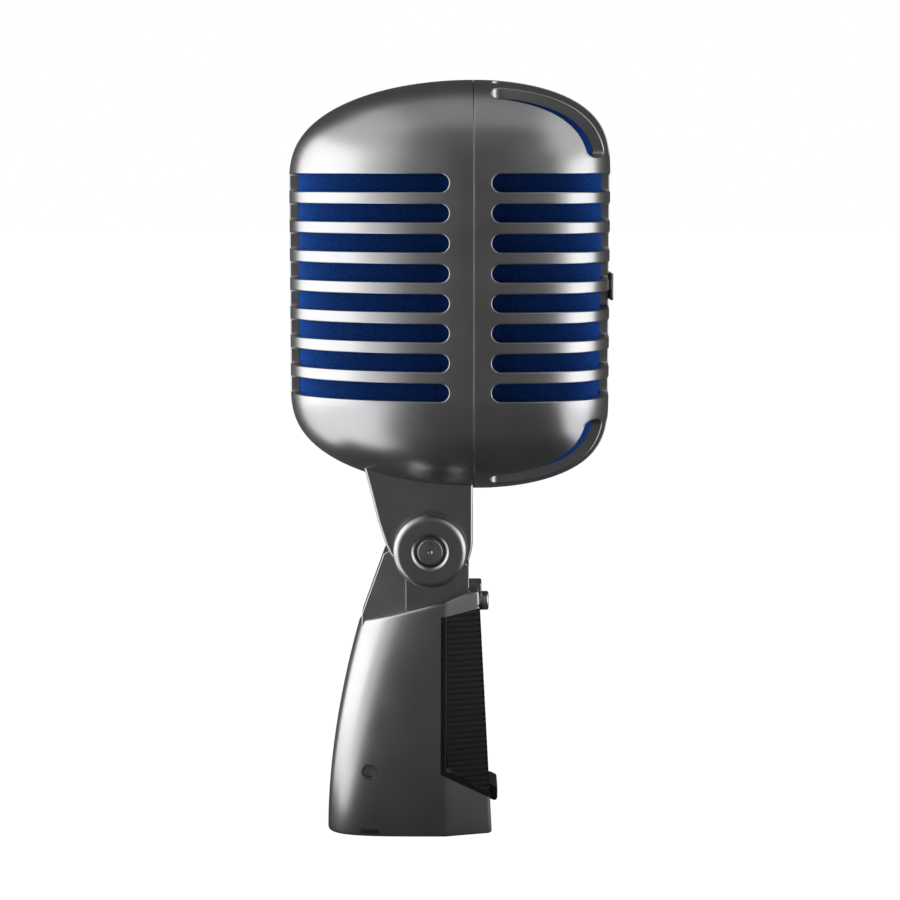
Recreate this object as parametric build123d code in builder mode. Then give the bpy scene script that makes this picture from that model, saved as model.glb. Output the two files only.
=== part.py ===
"""Side-slotted stage microphone on a tilting swivel base. Millimetres, +Z up, +X is the front.

The origin is on the stand thread's axis, in the plane of the base's flat bottom.
"""
import os
from math import cos, pi, radians, sin, sqrt, tan

from build123d import *

os.makedirs("parts", exist_ok=True)

# ---- fits -------------------------------------------------------------------
seat_gap = 0.05  # between pieces that are clamped or glued together
loose_gap = 0.3  # between soft, bowed or moving pieces
pin_gap = 0.05  # radial, round a turning pin
joint_gap = 0.1  # between flat faces that turn against each other

# ---- head: outer form -------------------------------------------------------
pivot_height = 72.8
pivot_x = -3.65
head_rise = 13.9  # from the pivot's axis to the head's lowest point
head_width = 56.0
head_back = 45.4  # from the seam to the back
head_front = 33.7  # from the seam to the front
head_straight = 51.0  # height of the upright walls between the two domes
head_dome = 25.15  # height of each dome
seam_x = 6.9
back_power = 2.5  # how squarely a dome turns down at the back
front_power = 3.4  # and at the front
plan_power = 3.0  # how square the plan is in front of the seam
head_wall = 2.2
seam_line = 0.1
dome_reaches = (0.0, 0.3, 0.56, 0.76, 0.9, 0.97, 0.995)
outline_steps = 32

# ---- head: slots ------------------------------------------------------------
slot_rows = 8
slot_pitch = 7.1
slot_height = 4.65
slot_rise = 0.6  # of the pattern of slots above the head's middle
rear_slot_start = 5.9  # from the seam back to the slots' round ends
front_slot_start = 4.3  # from the seam forward to the slots' round ends
centre_rib = 4.0
fan_slot_length = 30.0
fan_slot_width = 6.0
fan_slot_first = 5.9  # sideways place of the inner fan slot at its start
fan_slot_second = 14.0
fan_first_spread = 5.0  # degrees that the inner fan slot turns outwards
fan_second_spread = 9.0
fan_slot_sill = 3.8  # from the top row of slots to the fan slots' lower ends

# ---- head: plate, band and foam ---------------------------------------------
plate_width = 17.0
plate_height = 6.6
plate_thickness = 0.7
plate_corner = 1.3
band_width = 6.0
band_thickness = 1.0
foam_thickness = 3.0

# ---- head: inner works ------------------------------------------------------
capsule_axis_height = 2.5  # above the head's middle
capsule_radius = 16.0
capsule_length = 24.0
capsule_wall = 1.2
capsule_back_x = 2.0
yoke_radius = 11.0
yoke_depth = 11.0
yoke_wall = 2.5
magnet_radius = 5.6
pole_radius = 6.0
pole_thickness = 2.5
coil_gap = 0.3
coil_thickness = 0.4
coil_depth = 3.0
diaphragm_radius = 12.5
diaphragm_thickness = 0.4
diaphragm_travel = 0.25
cap_thickness = 1.5
cap_hole_radius = 1.0
cap_ring_radius = 8.0
cap_ring_holes = 12
housing_holes = 8
mount_radius = 10.0
mount_length = 5.0
mount_bore_radius = 5.0
chassis_thickness = 2.0
chassis_width = 17.0
chassis_length = 15.0
stem_x = -9.5
stem_radius = 6.5
stem_rise = 7.5  # above the head's lowest point
lead_radius = 1.4
lead_bore_radius = 2.2
lead_rise = 14.0  # from the connector insert to the lead's first bend
lead_arc_share = 0.45  # of the shorter of the two runs at a bend
transformer_size = (12.0, 15.0, 14.0)
transformer_corner = 1.0
transformer_height = 14.0  # above the chassis floor
board_size = (1.6, 14.0, 12.0)
board_height = 36.0
screw_radius = 1.5
screw_head_radius = 2.5
screw_head_height = 1.4
chassis_screw_spread = 8.6
chassis_screw_length = 8.0
chassis_rise = 8.0  # above the capsule's axis

# ---- fork and pivot ---------------------------------------------------------
tongue_half = 6.5
washer_thickness = 0.5
washer_radius = 7.4
cheek_thickness = 3.2
fork_back = 16.4  # from the pivot's axis to the fork's back edge against the head
fork_bend = 14.9  # the same, where the edge starts to lean in
fork_bend_rise = 14.8
fork_waist = 11.3  # the same, level with the pivot
fork_front = 10.55  # from the pivot's axis to the fork's front edge
fork_foot = 5.0  # below the pivot's axis
fork_foot_back = 9.1
cheek_round = 8.3
fork_edge_lean = 0.7
fork_edge_round = 0.7
bridge_rise = 12.3  # from the pivot's axis to the bridge's underside
disc_radius = 8.85
disc_thickness = 5.2
disc_edge = 1.3
recess_radius = 4.2
recess_depth = 1.6
hub_radius = 3.3
hub_height = 1.3
bolt_radius = 2.2
nut_wall = 0.6
nut_length = 8.0
spring_thickness = 0.6
spring_radius = 6.0

# ---- base: outer form -------------------------------------------------------
base_back = 29.75
base_back_top = 17.6
base_front = 11.8
base_front_top = 8.3
base_half = 13.0
base_half_top = 10.4
nose_half = 9.5
nose_half_top = 8.0
nose_inset_share = 0.6  # of an inset, taken off the half width at the nose
base_loft_height = 66.0
base_levels = (0.0, 0.13, 0.3, 0.5, 0.74, 1.0)
back_curve = 1.85  # how late the back starts to lean in
back_square = 2.1  # how much squarer than an ellipse the back's plan is at the bottom
back_ease = 1.2  # how late it starts to turn into an ellipse
back_steps = 16
shoulder_back_height = 55.2
shoulder_front_height = 61.6
base_edge = 0.6

# ---- base: neck -------------------------------------------------------------
neck_back_low = 20.9  # behind the origin, at the shoulder
neck_back_high = 15.3
neck_corner_height = 70.7
neck_front = 6.0
neck_flat_back = -9.7
neck_flat_front = 2.9
neck_back_half = 3.4
neck_front_half = 5.0
tongue_round = 8.0
boss_front = 9.2
boss_half = 3.5
boss_top = 64.0

# ---- base: front panel ------------------------------------------------------
panel_depth = 1.5
panel_back_top = -0.9
panel_back_low = 0.6
panel_top_back = 56.4
panel_top_front = 58.3
panel_low_back = 17.5
panel_low_front = 9.25
frame_side = 0.9
frame_low = 1.5
rib_pitch = 1.4
rib_height = 0.8
rib_depth = 0.6
lip_proud = 1.9
lip_width = 12.0
lip_low = 8.7
lip_top = 14.9
lip_round = 0.76
panel_screw_radius = 2.2
panel_screw_head = 2.3
panel_screw_height = 59.0
panel_screw_shank = 1.3
panel_screw_length = 6.0
panel_screw_round = 0.57

# ---- base: stand thread and cable socket ------------------------------------
thread_bore_radius = 7.43  # minor radius of a 5/8 inch, 27 to the inch thread
thread_length = 14.0
bushing_wall = 1.5
socket_offset = 18.9  # behind the thread's axis
socket_radius = 8.1
socket_depth = 14.8
insert_thickness = 4.0
contact_radius = 1.2
contact_circle = 4.9
contact_length = 10.5
contact_tail = 3.0
contact_round = 0.72
contact_angles = (60.0, 180.0, 300.0)
cavity_wall = 3.0
cavity_top = 46.0
set_screw_height = 16.4
set_screw_radius = 1.4
set_screw_dimple = 2.0
set_screw_out = 11.6  # from the middle plane to the dimple's floor
notch_width = 4.7
notch_height = 1.9
notch_depth = 1.0
neck_channel_offset = 11.6

# ---- values worked out from the sizes above ---------------------------------
head_low = pivot_height + head_rise
head_mid = head_low + head_dome + head_straight / 2
capsule_z = head_mid + capsule_axis_height
stem_top = head_low + stem_rise
cheek_in = tongue_half + washer_thickness + 2 * joint_gap
cheek_out = cheek_in + cheek_thickness
disc_in = cheek_out + spring_thickness + 2 * seat_gap
disc_out = disc_in + disc_thickness
set_screw_in = socket_radius
panel_screw_end = base_front_top - panel_screw_length
boss_low = panel_screw_height + panel_screw_radius + loose_gap


def head_outline(inset, reach):
    """Points round the head's level section where a dome has risen by the share reach.

    An ellipse behind the seam and a squarer superellipse in front of it, both
    drawn in from the outer skin by inset.
    """
    half = (head_width / 2 - inset) * sqrt(1 - reach**2)
    back = (head_back - inset) * sqrt(1 - reach**back_power)
    front = (head_front - inset) * sqrt(1 - reach**front_power)
    points = []
    for step in range(outline_steps):
        turn = 2 * pi * step / outline_steps
        across, along = sin(turn), cos(turn)
        power = plan_power if along > 0 else 2
        spoke = (abs(across) ** power + abs(along) ** power) ** (-1 / power)
        depth = front if along > 0 else back
        points.append((seam_x + depth * along * spoke, half * across * spoke))
    return points


def head_form(inset):
    """The head's whole closed form, drawn in from the outer skin by inset."""
    with BuildPart() as form:
        with BuildSketch(Plane.XY.offset(head_mid)):
            with BuildLine():
                Spline(*head_outline(inset, 0), periodic=True)
            make_face()
        extrude(amount=head_straight / 2, both=True)
        for way in (1, -1):
            for reach in dome_reaches:
                level = head_mid + way * (head_straight / 2 + (head_dome - inset) * reach)
                with BuildSketch(Plane.XY.offset(level)):
                    with BuildLine():
                        Spline(*head_outline(inset, reach), periodic=True)
                    make_face()
            loft()
    return form.part


def base_outline(share, inset):
    """Corners and half-lengths of the base's level section at a share of its loft height."""
    back = base_back - (base_back - base_back_top) * share**back_curve - inset
    half = base_half - (base_half - base_half_top) * share**back_curve - inset
    front = base_front - (base_front - base_front_top) * share - inset
    nose = nose_half - (nose_half - nose_half_top) * share - inset * nose_inset_share
    return back, half, front, nose


def back_outline(share, inset):
    """Points round the base's back at a share of its loft height: half a superellipse."""
    back, half, _, _ = base_outline(share, inset)
    power = 2 + back_square * (1 - share**back_ease)
    points = []
    for step in range(back_steps + 1):
        turn = pi / 2 + pi * step / back_steps
        across, along = sin(turn), cos(turn)
        spoke = (abs(across) ** power + abs(along) ** power) ** (-1 / power)
        points.append((back * along * spoke, half * across * spoke))
    return points


def base_form(inset, low, high):
    """The base's tapering form between two heights: round behind, facets in front."""
    with BuildPart() as form:
        for level in base_levels:
            height = low + (high - low) * level
            _, half, front, nose = base_outline(height / base_loft_height, inset)
            with BuildSketch(Plane.XY.offset(height)):
                with BuildLine():
                    Spline(*back_outline(height / base_loft_height, inset),
                           tangents=((-1, 0), (1, 0)))
                    Polyline((0, -half), (front, -nose), (front, nose), (0, half))
                make_face()
        loft()
    return form.part


def side_prism(points, half_width):
    """A prism across the object from an outline in the side view, as (x, z) points."""
    with BuildPart() as prism:
        with BuildSketch(Plane.XZ):
            with BuildLine():
                Polyline(*points, close=True)
            make_face()
        extrude(amount=half_width, both=True)
    return prism.part


def write(piece, name):
    """Labels a finished piece and writes it to its own file."""
    piece.label = name
    export_step(piece, f"parts/{name}.step")


# ---- head shells ------------------------------------------------------------
head_skin = head_form(0)
head_hollow = head_form(head_wall)
slot_reach = head_width
slot_mid = head_mid + slot_rise
row_centres = [slot_mid + slot_pitch * (row - (slot_rows - 1) / 2) for row in range(slot_rows)]
top_sill = row_centres[-1] + slot_height / 2 + fan_slot_sill


def slot_cutter(end_x, way):
    """All rows of side slots as one tool, from their round ends at end_x towards way along X."""
    length = head_back * 2
    with BuildPart() as cutter:
        for side in (1, -1):
            with BuildSketch(Plane.XZ.offset(side * centre_rib / 2)):
                for row in row_centres:
                    with Locations((end_x + way * length / 2, row)):
                        SlotOverall(length, slot_height)
            extrude(amount=side * slot_reach)
    return cutter.part


def fan_cutter():
    """The slots that fan out over the front of both domes."""
    with BuildPart() as cutter:
        for start, spread in ((fan_slot_first, fan_first_spread),
                              (fan_slot_second, fan_second_spread)):
            for side in (1, -1):
                turn = side * spread
                with BuildSketch(Plane.XY.offset(top_sill)):
                    with Locations(Location((seam_x + front_slot_start, side * start), turn)):
                        with Locations((fan_slot_length / 2, 0)):
                            SlotOverall(fan_slot_length, fan_slot_width)
                extrude(amount=head_dome * 2)
        mirror(about=Plane.XY.offset(head_mid))
    return cutter.part


with BuildPart() as front_grille:
    add(head_skin)
    add(head_hollow, mode=Mode.SUBTRACT)
    split(bisect_by=Plane.YZ.offset(seam_x + seam_line / 2), keep=Keep.TOP)
    add(slot_cutter(seam_x + front_slot_start, 1), mode=Mode.SUBTRACT)
    add(fan_cutter(), mode=Mode.SUBTRACT)
write(front_grille.part, "front_grille")

with BuildPart() as rear_grille:
    add(head_skin)
    add(head_hollow, mode=Mode.SUBTRACT)
    split(bisect_by=Plane.YZ.offset(seam_x - seam_line / 2), keep=Keep.BOTTOM)
    add(slot_cutter(seam_x - rear_slot_start, -1), mode=Mode.SUBTRACT)
    with Locations((stem_x, 0, head_low)):
        Cylinder(stem_radius + seat_gap, 2 * stem_rise, mode=Mode.SUBTRACT)
write(rear_grille.part, "rear_grille")


# ---- seam band, foam and plate ----------------------------------------------
lining_inset = head_wall + loose_gap
lining_skin = head_form(lining_inset)
band_half = band_width / 2

with BuildPart() as seam_band:
    add(lining_skin)
    add(head_form(lining_inset + band_thickness), mode=Mode.SUBTRACT)
    split(bisect_by=Plane.YZ.offset(seam_x - band_half), keep=Keep.TOP)
    split(bisect_by=Plane.YZ.offset(seam_x + band_half), keep=Keep.BOTTOM)
write(seam_band.part, "seam_band")

with BuildPart() as lining:
    add(lining_skin)
    add(head_form(lining_inset + foam_thickness), mode=Mode.SUBTRACT)

with BuildPart() as front_foam:
    add(lining.part)
    split(bisect_by=Plane.YZ.offset(seam_x + band_half + loose_gap), keep=Keep.TOP)
write(front_foam.part, "front_foam")

with BuildPart() as rear_foam:
    add(lining.part)
    split(bisect_by=Plane.YZ.offset(seam_x - band_half - loose_gap), keep=Keep.BOTTOM)
    with Locations((stem_x, 0, head_low)):
        Box(2 * chassis_length, chassis_width + 4 * loose_gap, 4 * stem_rise, mode=Mode.SUBTRACT)
write(rear_foam.part, "rear_foam")

front_face_x = seam_x + head_front
with BuildPart() as name_plate:
    with BuildSketch(Plane.YZ.offset(front_face_x + seat_gap)):
        with Locations((0, head_mid)):
            RectangleRounded(plate_width, plate_height, plate_corner)
    extrude(amount=plate_thickness)
write(name_plate.part, "name_plate")


# ---- capsule, in order from the back to the front ---------------------------
def capsule_plane(x):
    """A plane across the capsule's axis at x, facing the front."""
    return Plane(origin=(x, 0, capsule_z), x_dir=(0, 1, 0), z_dir=(1, 0, 0))


yoke_x = capsule_back_x + capsule_wall + seat_gap
yoke_front = yoke_x + yoke_depth
coil_radius = pole_radius + coil_gap
plate_bore = coil_radius + coil_thickness + coil_gap
magnet_x = yoke_x + yoke_wall + seat_gap
pole_front = yoke_front + seat_gap + pole_thickness
diaphragm_x = pole_front + diaphragm_travel + 2 * loose_gap
capsule_front_x = capsule_back_x + capsule_length
capsule_bore = capsule_radius - capsule_wall

with BuildPart() as capsule_housing:
    with BuildSketch(capsule_plane(capsule_back_x)):
        Circle(capsule_radius)
    extrude(amount=capsule_length)
    with BuildSketch(capsule_plane(capsule_back_x + capsule_wall)):
        Circle(capsule_bore)
    extrude(amount=capsule_length, mode=Mode.SUBTRACT)
    with BuildSketch(capsule_plane(capsule_back_x)):
        with PolarLocations((yoke_radius + capsule_bore) / 2, housing_holes):
            Circle(cap_hole_radius)
    extrude(amount=capsule_wall, mode=Mode.SUBTRACT)
write(capsule_housing.part, "capsule_housing")

with BuildPart() as magnet_yoke:
    with BuildSketch(capsule_plane(yoke_x)):
        Circle(yoke_radius)
    extrude(amount=yoke_depth)
    with BuildSketch(capsule_plane(yoke_x + yoke_wall)):
        Circle(yoke_radius - yoke_wall)
    extrude(amount=yoke_depth, mode=Mode.SUBTRACT)
write(magnet_yoke.part, "magnet_yoke")

with BuildPart() as magnet:
    with BuildSketch(capsule_plane(magnet_x)):
        Circle(magnet_radius)
    extrude(amount=yoke_front - magnet_x)
write(magnet.part, "magnet")

with BuildPart() as pole_piece:
    with BuildSketch(capsule_plane(yoke_front + seat_gap)):
        Circle(pole_radius)
    extrude(amount=pole_thickness)
write(pole_piece.part, "pole_piece")

with BuildPart() as yoke_plate:
    with BuildSketch(capsule_plane(yoke_front + seat_gap)):
        Circle(yoke_radius)
        Circle(plate_bore, mode=Mode.SUBTRACT)
    extrude(amount=pole_thickness)
write(yoke_plate.part, "yoke_plate")

with BuildPart() as diaphragm:
    with BuildSketch(capsule_plane(diaphragm_x)):
        Circle(diaphragm_radius)
    extrude(amount=diaphragm_thickness)
    with BuildSketch(capsule_plane(diaphragm_x - coil_depth)):
        Circle(coil_radius + coil_thickness)
        Circle(coil_radius, mode=Mode.SUBTRACT)
    extrude(amount=coil_depth)
write(diaphragm.part, "diaphragm")

with BuildPart() as diaphragm_ring:
    with BuildSketch(capsule_plane(diaphragm_x - loose_gap)):
        Circle(capsule_bore - seat_gap)
        Circle(diaphragm_radius + loose_gap, mode=Mode.SUBTRACT)
    extrude(amount=capsule_front_x - cap_thickness - diaphragm_x)
write(diaphragm_ring.part, "diaphragm_ring")

with BuildPart() as capsule_cap:
    with BuildSketch(capsule_plane(capsule_front_x - cap_thickness)):
        Circle(capsule_bore - seat_gap)
        Circle(cap_hole_radius, mode=Mode.SUBTRACT)
        for share in (0.5, 1.0, 1.5):
            with PolarLocations(cap_ring_radius * share, round(cap_ring_holes * share)):
                Circle(cap_hole_radius, mode=Mode.SUBTRACT)
    extrude(amount=cap_thickness)
write(capsule_cap.part, "capsule_cap")

# ---- what carries the capsule -----------------------------------------------
chassis_front_x = capsule_back_x - mount_length
chassis_back_x = chassis_front_x - chassis_thickness
chassis_floor = stem_top + seat_gap
floor_top = chassis_floor + chassis_thickness

with BuildPart() as shock_mount:
    with BuildSketch(capsule_plane(chassis_front_x + seat_gap)):
        Circle(mount_radius)
        Circle(mount_bore_radius, mode=Mode.SUBTRACT)
    extrude(amount=mount_length - 2 * seat_gap)
write(shock_mount.part, "shock_mount")

with BuildPart() as chassis:
    with BuildSketch(Plane.XY.offset(chassis_floor)):
        with Locations((chassis_front_x, 0)):
            Rectangle(chassis_length, chassis_width, align=(Align.MAX, Align.CENTER))
    extrude(amount=chassis_thickness)
    with BuildSketch(Plane.XY.offset(chassis_floor)):
        with Locations((chassis_front_x, 0)):
            Rectangle(chassis_thickness, chassis_width, align=(Align.MAX, Align.CENTER))
    extrude(amount=capsule_z + chassis_rise - chassis_floor)
    with BuildSketch(Plane.XY.offset(chassis_floor)):
        with Locations((stem_x, 0)):
            Circle(lead_bore_radius)
            with GridLocations(0, chassis_screw_spread, 1, 2):
                Circle(screw_radius + seat_gap)
    extrude(amount=chassis_thickness, mode=Mode.SUBTRACT)
write(chassis.part, "chassis")

with BuildPart() as chassis_screws:
    with BuildSketch(Plane.XY.offset(floor_top - chassis_screw_length)):
        with Locations((stem_x, 0)):
            with GridLocations(0, chassis_screw_spread, 1, 2):
                Circle(screw_radius)
    extrude(amount=chassis_screw_length + seat_gap)
    with BuildSketch(Plane.XY.offset(floor_top + seat_gap)):
        with Locations((stem_x, 0)):
            with GridLocations(0, chassis_screw_spread, 1, 2):
                Circle(screw_head_radius)
    extrude(amount=screw_head_height)
write(chassis_screws.part, "chassis_screws")

transformer_low = floor_top + transformer_height
transformer_x = chassis_back_x - seat_gap - transformer_size[0] / 2
with BuildPart() as transformer:
    with Locations((transformer_x, 0, transformer_low + transformer_size[2] / 2)):
        Box(*transformer_size)
    chamfer(transformer.edges().filter_by(Axis.Z), transformer_corner)
write(transformer.part, "transformer")

with BuildPart() as terminal_board:
    with Locations((chassis_back_x - seat_gap - board_size[0] / 2, 0, floor_top + board_height)):
        Box(*board_size)
write(terminal_board.part, "terminal_board")

# ---- fork -------------------------------------------------------------------
bridge_low = pivot_height + bridge_rise
fork_top = head_low + stem_rise
bolt_bore = bolt_radius + seat_gap
nut_barrel = bolt_bore + nut_wall
nut_bore = nut_barrel + seat_gap
head_seat = head_form(-seat_gap)


def pivot_plane(y):
    """A plane across the pivot's axis at y, facing the +Y side."""
    return Plane(origin=(pivot_x, y, pivot_height), x_dir=(-1, 0, 0), z_dir=(0, 1, 0))


fork_side = [
    (pivot_x - fork_back, fork_top),
    (pivot_x - fork_bend, pivot_height + fork_bend_rise),
    (pivot_x - fork_waist, pivot_height),
    (pivot_x - fork_foot_back, pivot_height - fork_foot),
    (pivot_x + fork_front - fork_edge_lean, pivot_height - fork_foot),
    (pivot_x + fork_front, pivot_height),
    (pivot_x + fork_front, fork_top),
]

with BuildPart() as fork:
    add(side_prism(fork_side, cheek_out))
    with BuildSketch(pivot_plane(-cheek_out)):
        Circle(cheek_round)
    extrude(amount=2 * cheek_out)
    outer_edges = fork.edges().filter_by(lambda e: abs(abs(e.center().Y) - cheek_out) < seat_gap)
    fillet(outer_edges, fork_edge_round)
    add(head_seat, mode=Mode.SUBTRACT)
    with Locations((pivot_x, 0, bridge_low)):
        Box(4 * fork_back, 2 * cheek_in, 4 * bridge_rise, mode=Mode.SUBTRACT,
            align=(Align.CENTER, Align.CENTER, Align.MAX))
    with Locations((stem_x, 0, bridge_low)):
        Cylinder(stem_radius, stem_top - bridge_low, align=(Align.CENTER, Align.CENTER, Align.MIN))
        Cylinder(lead_bore_radius, 4 * stem_rise, mode=Mode.SUBTRACT)
    with BuildSketch(Plane.XY.offset(floor_top - chassis_screw_length - loose_gap)):
        with Locations((stem_x, 0)):
            with GridLocations(0, chassis_screw_spread, 1, 2):
                Circle(screw_radius + seat_gap)
    extrude(amount=chassis_screw_length, mode=Mode.SUBTRACT)
    with BuildSketch(pivot_plane(-cheek_out)):
        Circle(bolt_bore)
    extrude(amount=cheek_thickness, mode=Mode.SUBTRACT)
    with BuildSketch(pivot_plane(cheek_in)):
        Circle(nut_bore)
    extrude(amount=cheek_thickness, mode=Mode.SUBTRACT)
write(fork.part, "fork")

# ---- pivot: washers, discs, bolt and nut ------------------------------------
recess_floor = disc_out - recess_depth

with BuildPart() as friction_washers:
    for y in (-tongue_half - joint_gap - washer_thickness, tongue_half + joint_gap):
        with BuildSketch(pivot_plane(y)):
            Circle(washer_radius)
            Circle(nut_bore, mode=Mode.SUBTRACT)
        extrude(amount=washer_thickness)
write(friction_washers.part, "friction_washers")

with BuildPart() as spring_washers:
    for y in (-cheek_out - seat_gap - spring_thickness, cheek_out + seat_gap):
        with BuildSketch(pivot_plane(y)):
            Circle(spring_radius)
            Circle(nut_bore, mode=Mode.SUBTRACT)
        extrude(amount=spring_thickness)
write(spring_washers.part, "spring_washers")


def swivel_disc(side, bore):
    """A round clamp disc outside one cheek, with a rounded rim and a recess for the hub."""
    with BuildPart() as disc:
        with BuildSketch(pivot_plane(side * disc_in)):
            Circle(disc_radius)
        extrude(amount=side * disc_thickness)
        rim = disc.edges().sort_by(Axis.Y)[-1 if side > 0 else 0]
        fillet(rim, disc_edge)
        with BuildSketch(pivot_plane(side * recess_floor)):
            Circle(recess_radius)
        extrude(amount=side * recess_depth, mode=Mode.SUBTRACT)
        with BuildSketch(pivot_plane(side * disc_in)):
            Circle(bore)
        extrude(amount=side * disc_thickness, mode=Mode.SUBTRACT)
    return disc.part


write(swivel_disc(-1, bolt_bore), "left_disc")
write(swivel_disc(1, nut_bore), "right_disc")

nut_inner = recess_floor + seat_gap - nut_length
with BuildPart() as pivot_bolt:
    with BuildSketch(pivot_plane(-recess_floor - seat_gap)):
        Circle(hub_radius)
    extrude(amount=-hub_height)
    with BuildSketch(pivot_plane(-recess_floor - seat_gap)):
        Circle(bolt_radius)
    extrude(amount=2 * recess_floor)
write(pivot_bolt.part, "pivot_bolt")

with BuildPart() as pivot_nut:
    with BuildSketch(pivot_plane(recess_floor + seat_gap)):
        Circle(hub_radius)
    extrude(amount=hub_height)
    with BuildSketch(pivot_plane(nut_inner)):
        Circle(nut_barrel)
    extrude(amount=nut_length)
    with BuildSketch(pivot_plane(nut_inner)):
        Circle(bolt_bore)
    extrude(amount=nut_length, mode=Mode.SUBTRACT)
write(pivot_nut.part, "pivot_nut")

# ---- base -------------------------------------------------------------------
shoulder_reach = 2 * base_back


def sloping_side(back, front, reach, up):
    """A side outline above or below the line through two (x, z) points, as far as reach."""
    slope = (front[1] - back[1]) / (front[0] - back[0])
    near = back[1] - (back[0] + reach) * slope
    far = back[1] + (reach - back[0]) * slope
    end = (near + far) / 2 + (reach * 2 if up else -reach * 2)
    return [(-reach, near), (reach, far), (reach, end), (-reach, end)]


def panel_prism(margin_back, margin_low, margin_top):
    """The front panel's side outline as a prism, grown at its back, low and top edges."""
    back_edge = [(panel_back_low - margin_back, panel_low_back - margin_low),
                 (panel_back_top - margin_back, panel_top_back + margin_top)]
    top_slope = (panel_top_front - panel_top_back) / (base_front_top - panel_back_top)
    low_slope = (panel_low_front - panel_low_back) / (base_front - panel_back_low)
    top_end = back_edge[1][1] + top_slope * (base_back - back_edge[1][0])
    low_end = back_edge[0][1] + low_slope * (base_back - back_edge[0][0])
    return side_prism(back_edge + [(base_back, top_end), (base_back, low_end)], 2 * base_half)


shoulder_line = ((-neck_back_low, shoulder_back_height), (neck_front, shoulder_front_height))
neck_side = [
    (-neck_back_low, cavity_top),
    (-neck_back_low, shoulder_back_height),
    (-neck_back_high, neck_corner_height),
    (pivot_x - tongue_round, pivot_height),
    (pivot_x, pivot_height),
    (neck_front, pivot_height - fork_foot),
    (neck_front, cavity_top),
]
base_skin = base_form(0, 0, base_loft_height)
panel_back_skin = base_form(panel_depth, 0, base_loft_height)
insert_low = socket_depth
insert_top = socket_depth + insert_thickness
thread_top = thread_length + seat_gap


def neck_cutter(side):
    """Takes the neck's long corners off one side, behind and in front of its flat."""
    half = side * tongue_half
    with BuildPart() as cutter:
        with BuildSketch(Plane.XY.offset(cavity_top)):
            with BuildLine():
                Polyline((neck_flat_back, half), (-neck_back_low, side * neck_back_half),
                         (-2 * neck_back_low, side * neck_back_half),
                         (-2 * neck_back_low, 2 * half), (neck_flat_back, 2 * half), close=True)
            make_face()
            with BuildLine():
                Polyline((neck_flat_front, half), (neck_front, side * neck_front_half),
                         (2 * neck_front, side * neck_front_half), (2 * neck_front, 2 * half),
                         (neck_flat_front, 2 * half), close=True)
            make_face()
        extrude(amount=pivot_height)
    return cutter.part


with BuildPart() as neck:
    add(side_prism(neck_side, tongue_half))
    with BuildSketch(pivot_plane(-tongue_half)):
        Circle(tongue_round)
    extrude(amount=2 * tongue_half)
    for side in (1, -1):
        add(neck_cutter(side), mode=Mode.SUBTRACT)

with BuildPart() as base_body:
    add(base_skin)
    add(side_prism(sloping_side(*shoulder_line, shoulder_reach, True), shoulder_reach),
        mode=Mode.SUBTRACT)
    fillet(base_body.edges().group_by(Axis.Z)[0], base_edge)
    add(neck.part)
    with BuildSketch(Plane.XZ):
        with Locations((boss_front, boss_top)):
            Rectangle(boss_front - neck_front + loose_gap, boss_top - boss_low,
                      align=(Align.MAX, Align.MAX))
    extrude(amount=boss_half, both=True)
    # recess for the ribbed panel and its frame
    with BuildPart(mode=Mode.PRIVATE) as recess:
        add(base_skin)
        add(panel_back_skin, mode=Mode.SUBTRACT)
        add(panel_prism(frame_side, frame_low, 0), mode=Mode.INTERSECT)
    add(recess.part, mode=Mode.SUBTRACT)
    # wiring cavity, stand thread and cable socket
    add(base_form(cavity_wall, insert_top, cavity_top), mode=Mode.SUBTRACT)
    with BuildSketch(Plane.XY):
        Circle(thread_bore_radius + bushing_wall + seat_gap)
    extrude(amount=thread_top, mode=Mode.SUBTRACT)
    with BuildSketch(Plane.XY):
        with Locations((-socket_offset, 0)):
            Circle(socket_radius)
    extrude(amount=insert_top + seat_gap, mode=Mode.SUBTRACT)
    # channel for the lead, up through the neck
    with BuildSketch(Plane.XY.offset(cavity_top - cavity_wall)):
        with Locations((-neck_channel_offset, 0)):
            Circle(lead_bore_radius)
    extrude(amount=pivot_height, mode=Mode.SUBTRACT)
    # pivot bore
    with BuildSketch(pivot_plane(-tongue_half)):
        Circle(nut_barrel + pin_gap)
    extrude(amount=2 * tongue_half, mode=Mode.SUBTRACT)
    # panel screw hole, set screw hole with its dimple, and the notch in the rim
    with BuildSketch(Plane.YZ.offset(base_front + panel_screw_head)):
        with Locations((0, panel_screw_height)):
            Circle(panel_screw_shank + seat_gap)
    extrude(amount=-(base_front + panel_screw_head - panel_screw_end), mode=Mode.SUBTRACT)
    with BuildSketch(Plane.XZ.offset(set_screw_in)):
        with Locations((-socket_offset, set_screw_height)):
            Circle(set_screw_radius + seat_gap)
    extrude(amount=base_half, mode=Mode.SUBTRACT)
    with BuildSketch(Plane.XZ.offset(set_screw_out)):
        with Locations((-socket_offset, set_screw_height)):
            Circle(set_screw_dimple)
    extrude(amount=base_half, mode=Mode.SUBTRACT)
    with BuildSketch(Plane.XZ.offset(set_screw_out - notch_depth)):
        with Locations((-socket_offset, 0)):
            Rectangle(notch_width, 2 * notch_height)
    extrude(amount=base_half, mode=Mode.SUBTRACT)
write(base_body.part, "base_body")

# ---- base: ribbed panel, its frame and screw --------------------------------
rib_levels = [panel_low_front + rib_pitch * (row + 0.5)
              for row in range(int((panel_top_front - panel_low_front) / rib_pitch))]


def rib_outline(height, inset):
    """Corners of the base's front, level with a height and drawn in by inset."""
    _, half, front, nose = base_outline(height / base_loft_height, inset)
    rear = panel_back_top - frame_side
    return [(rear, -half), (0, -half), (front, -nose), (front, nose), (0, half), (rear, half)]


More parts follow.
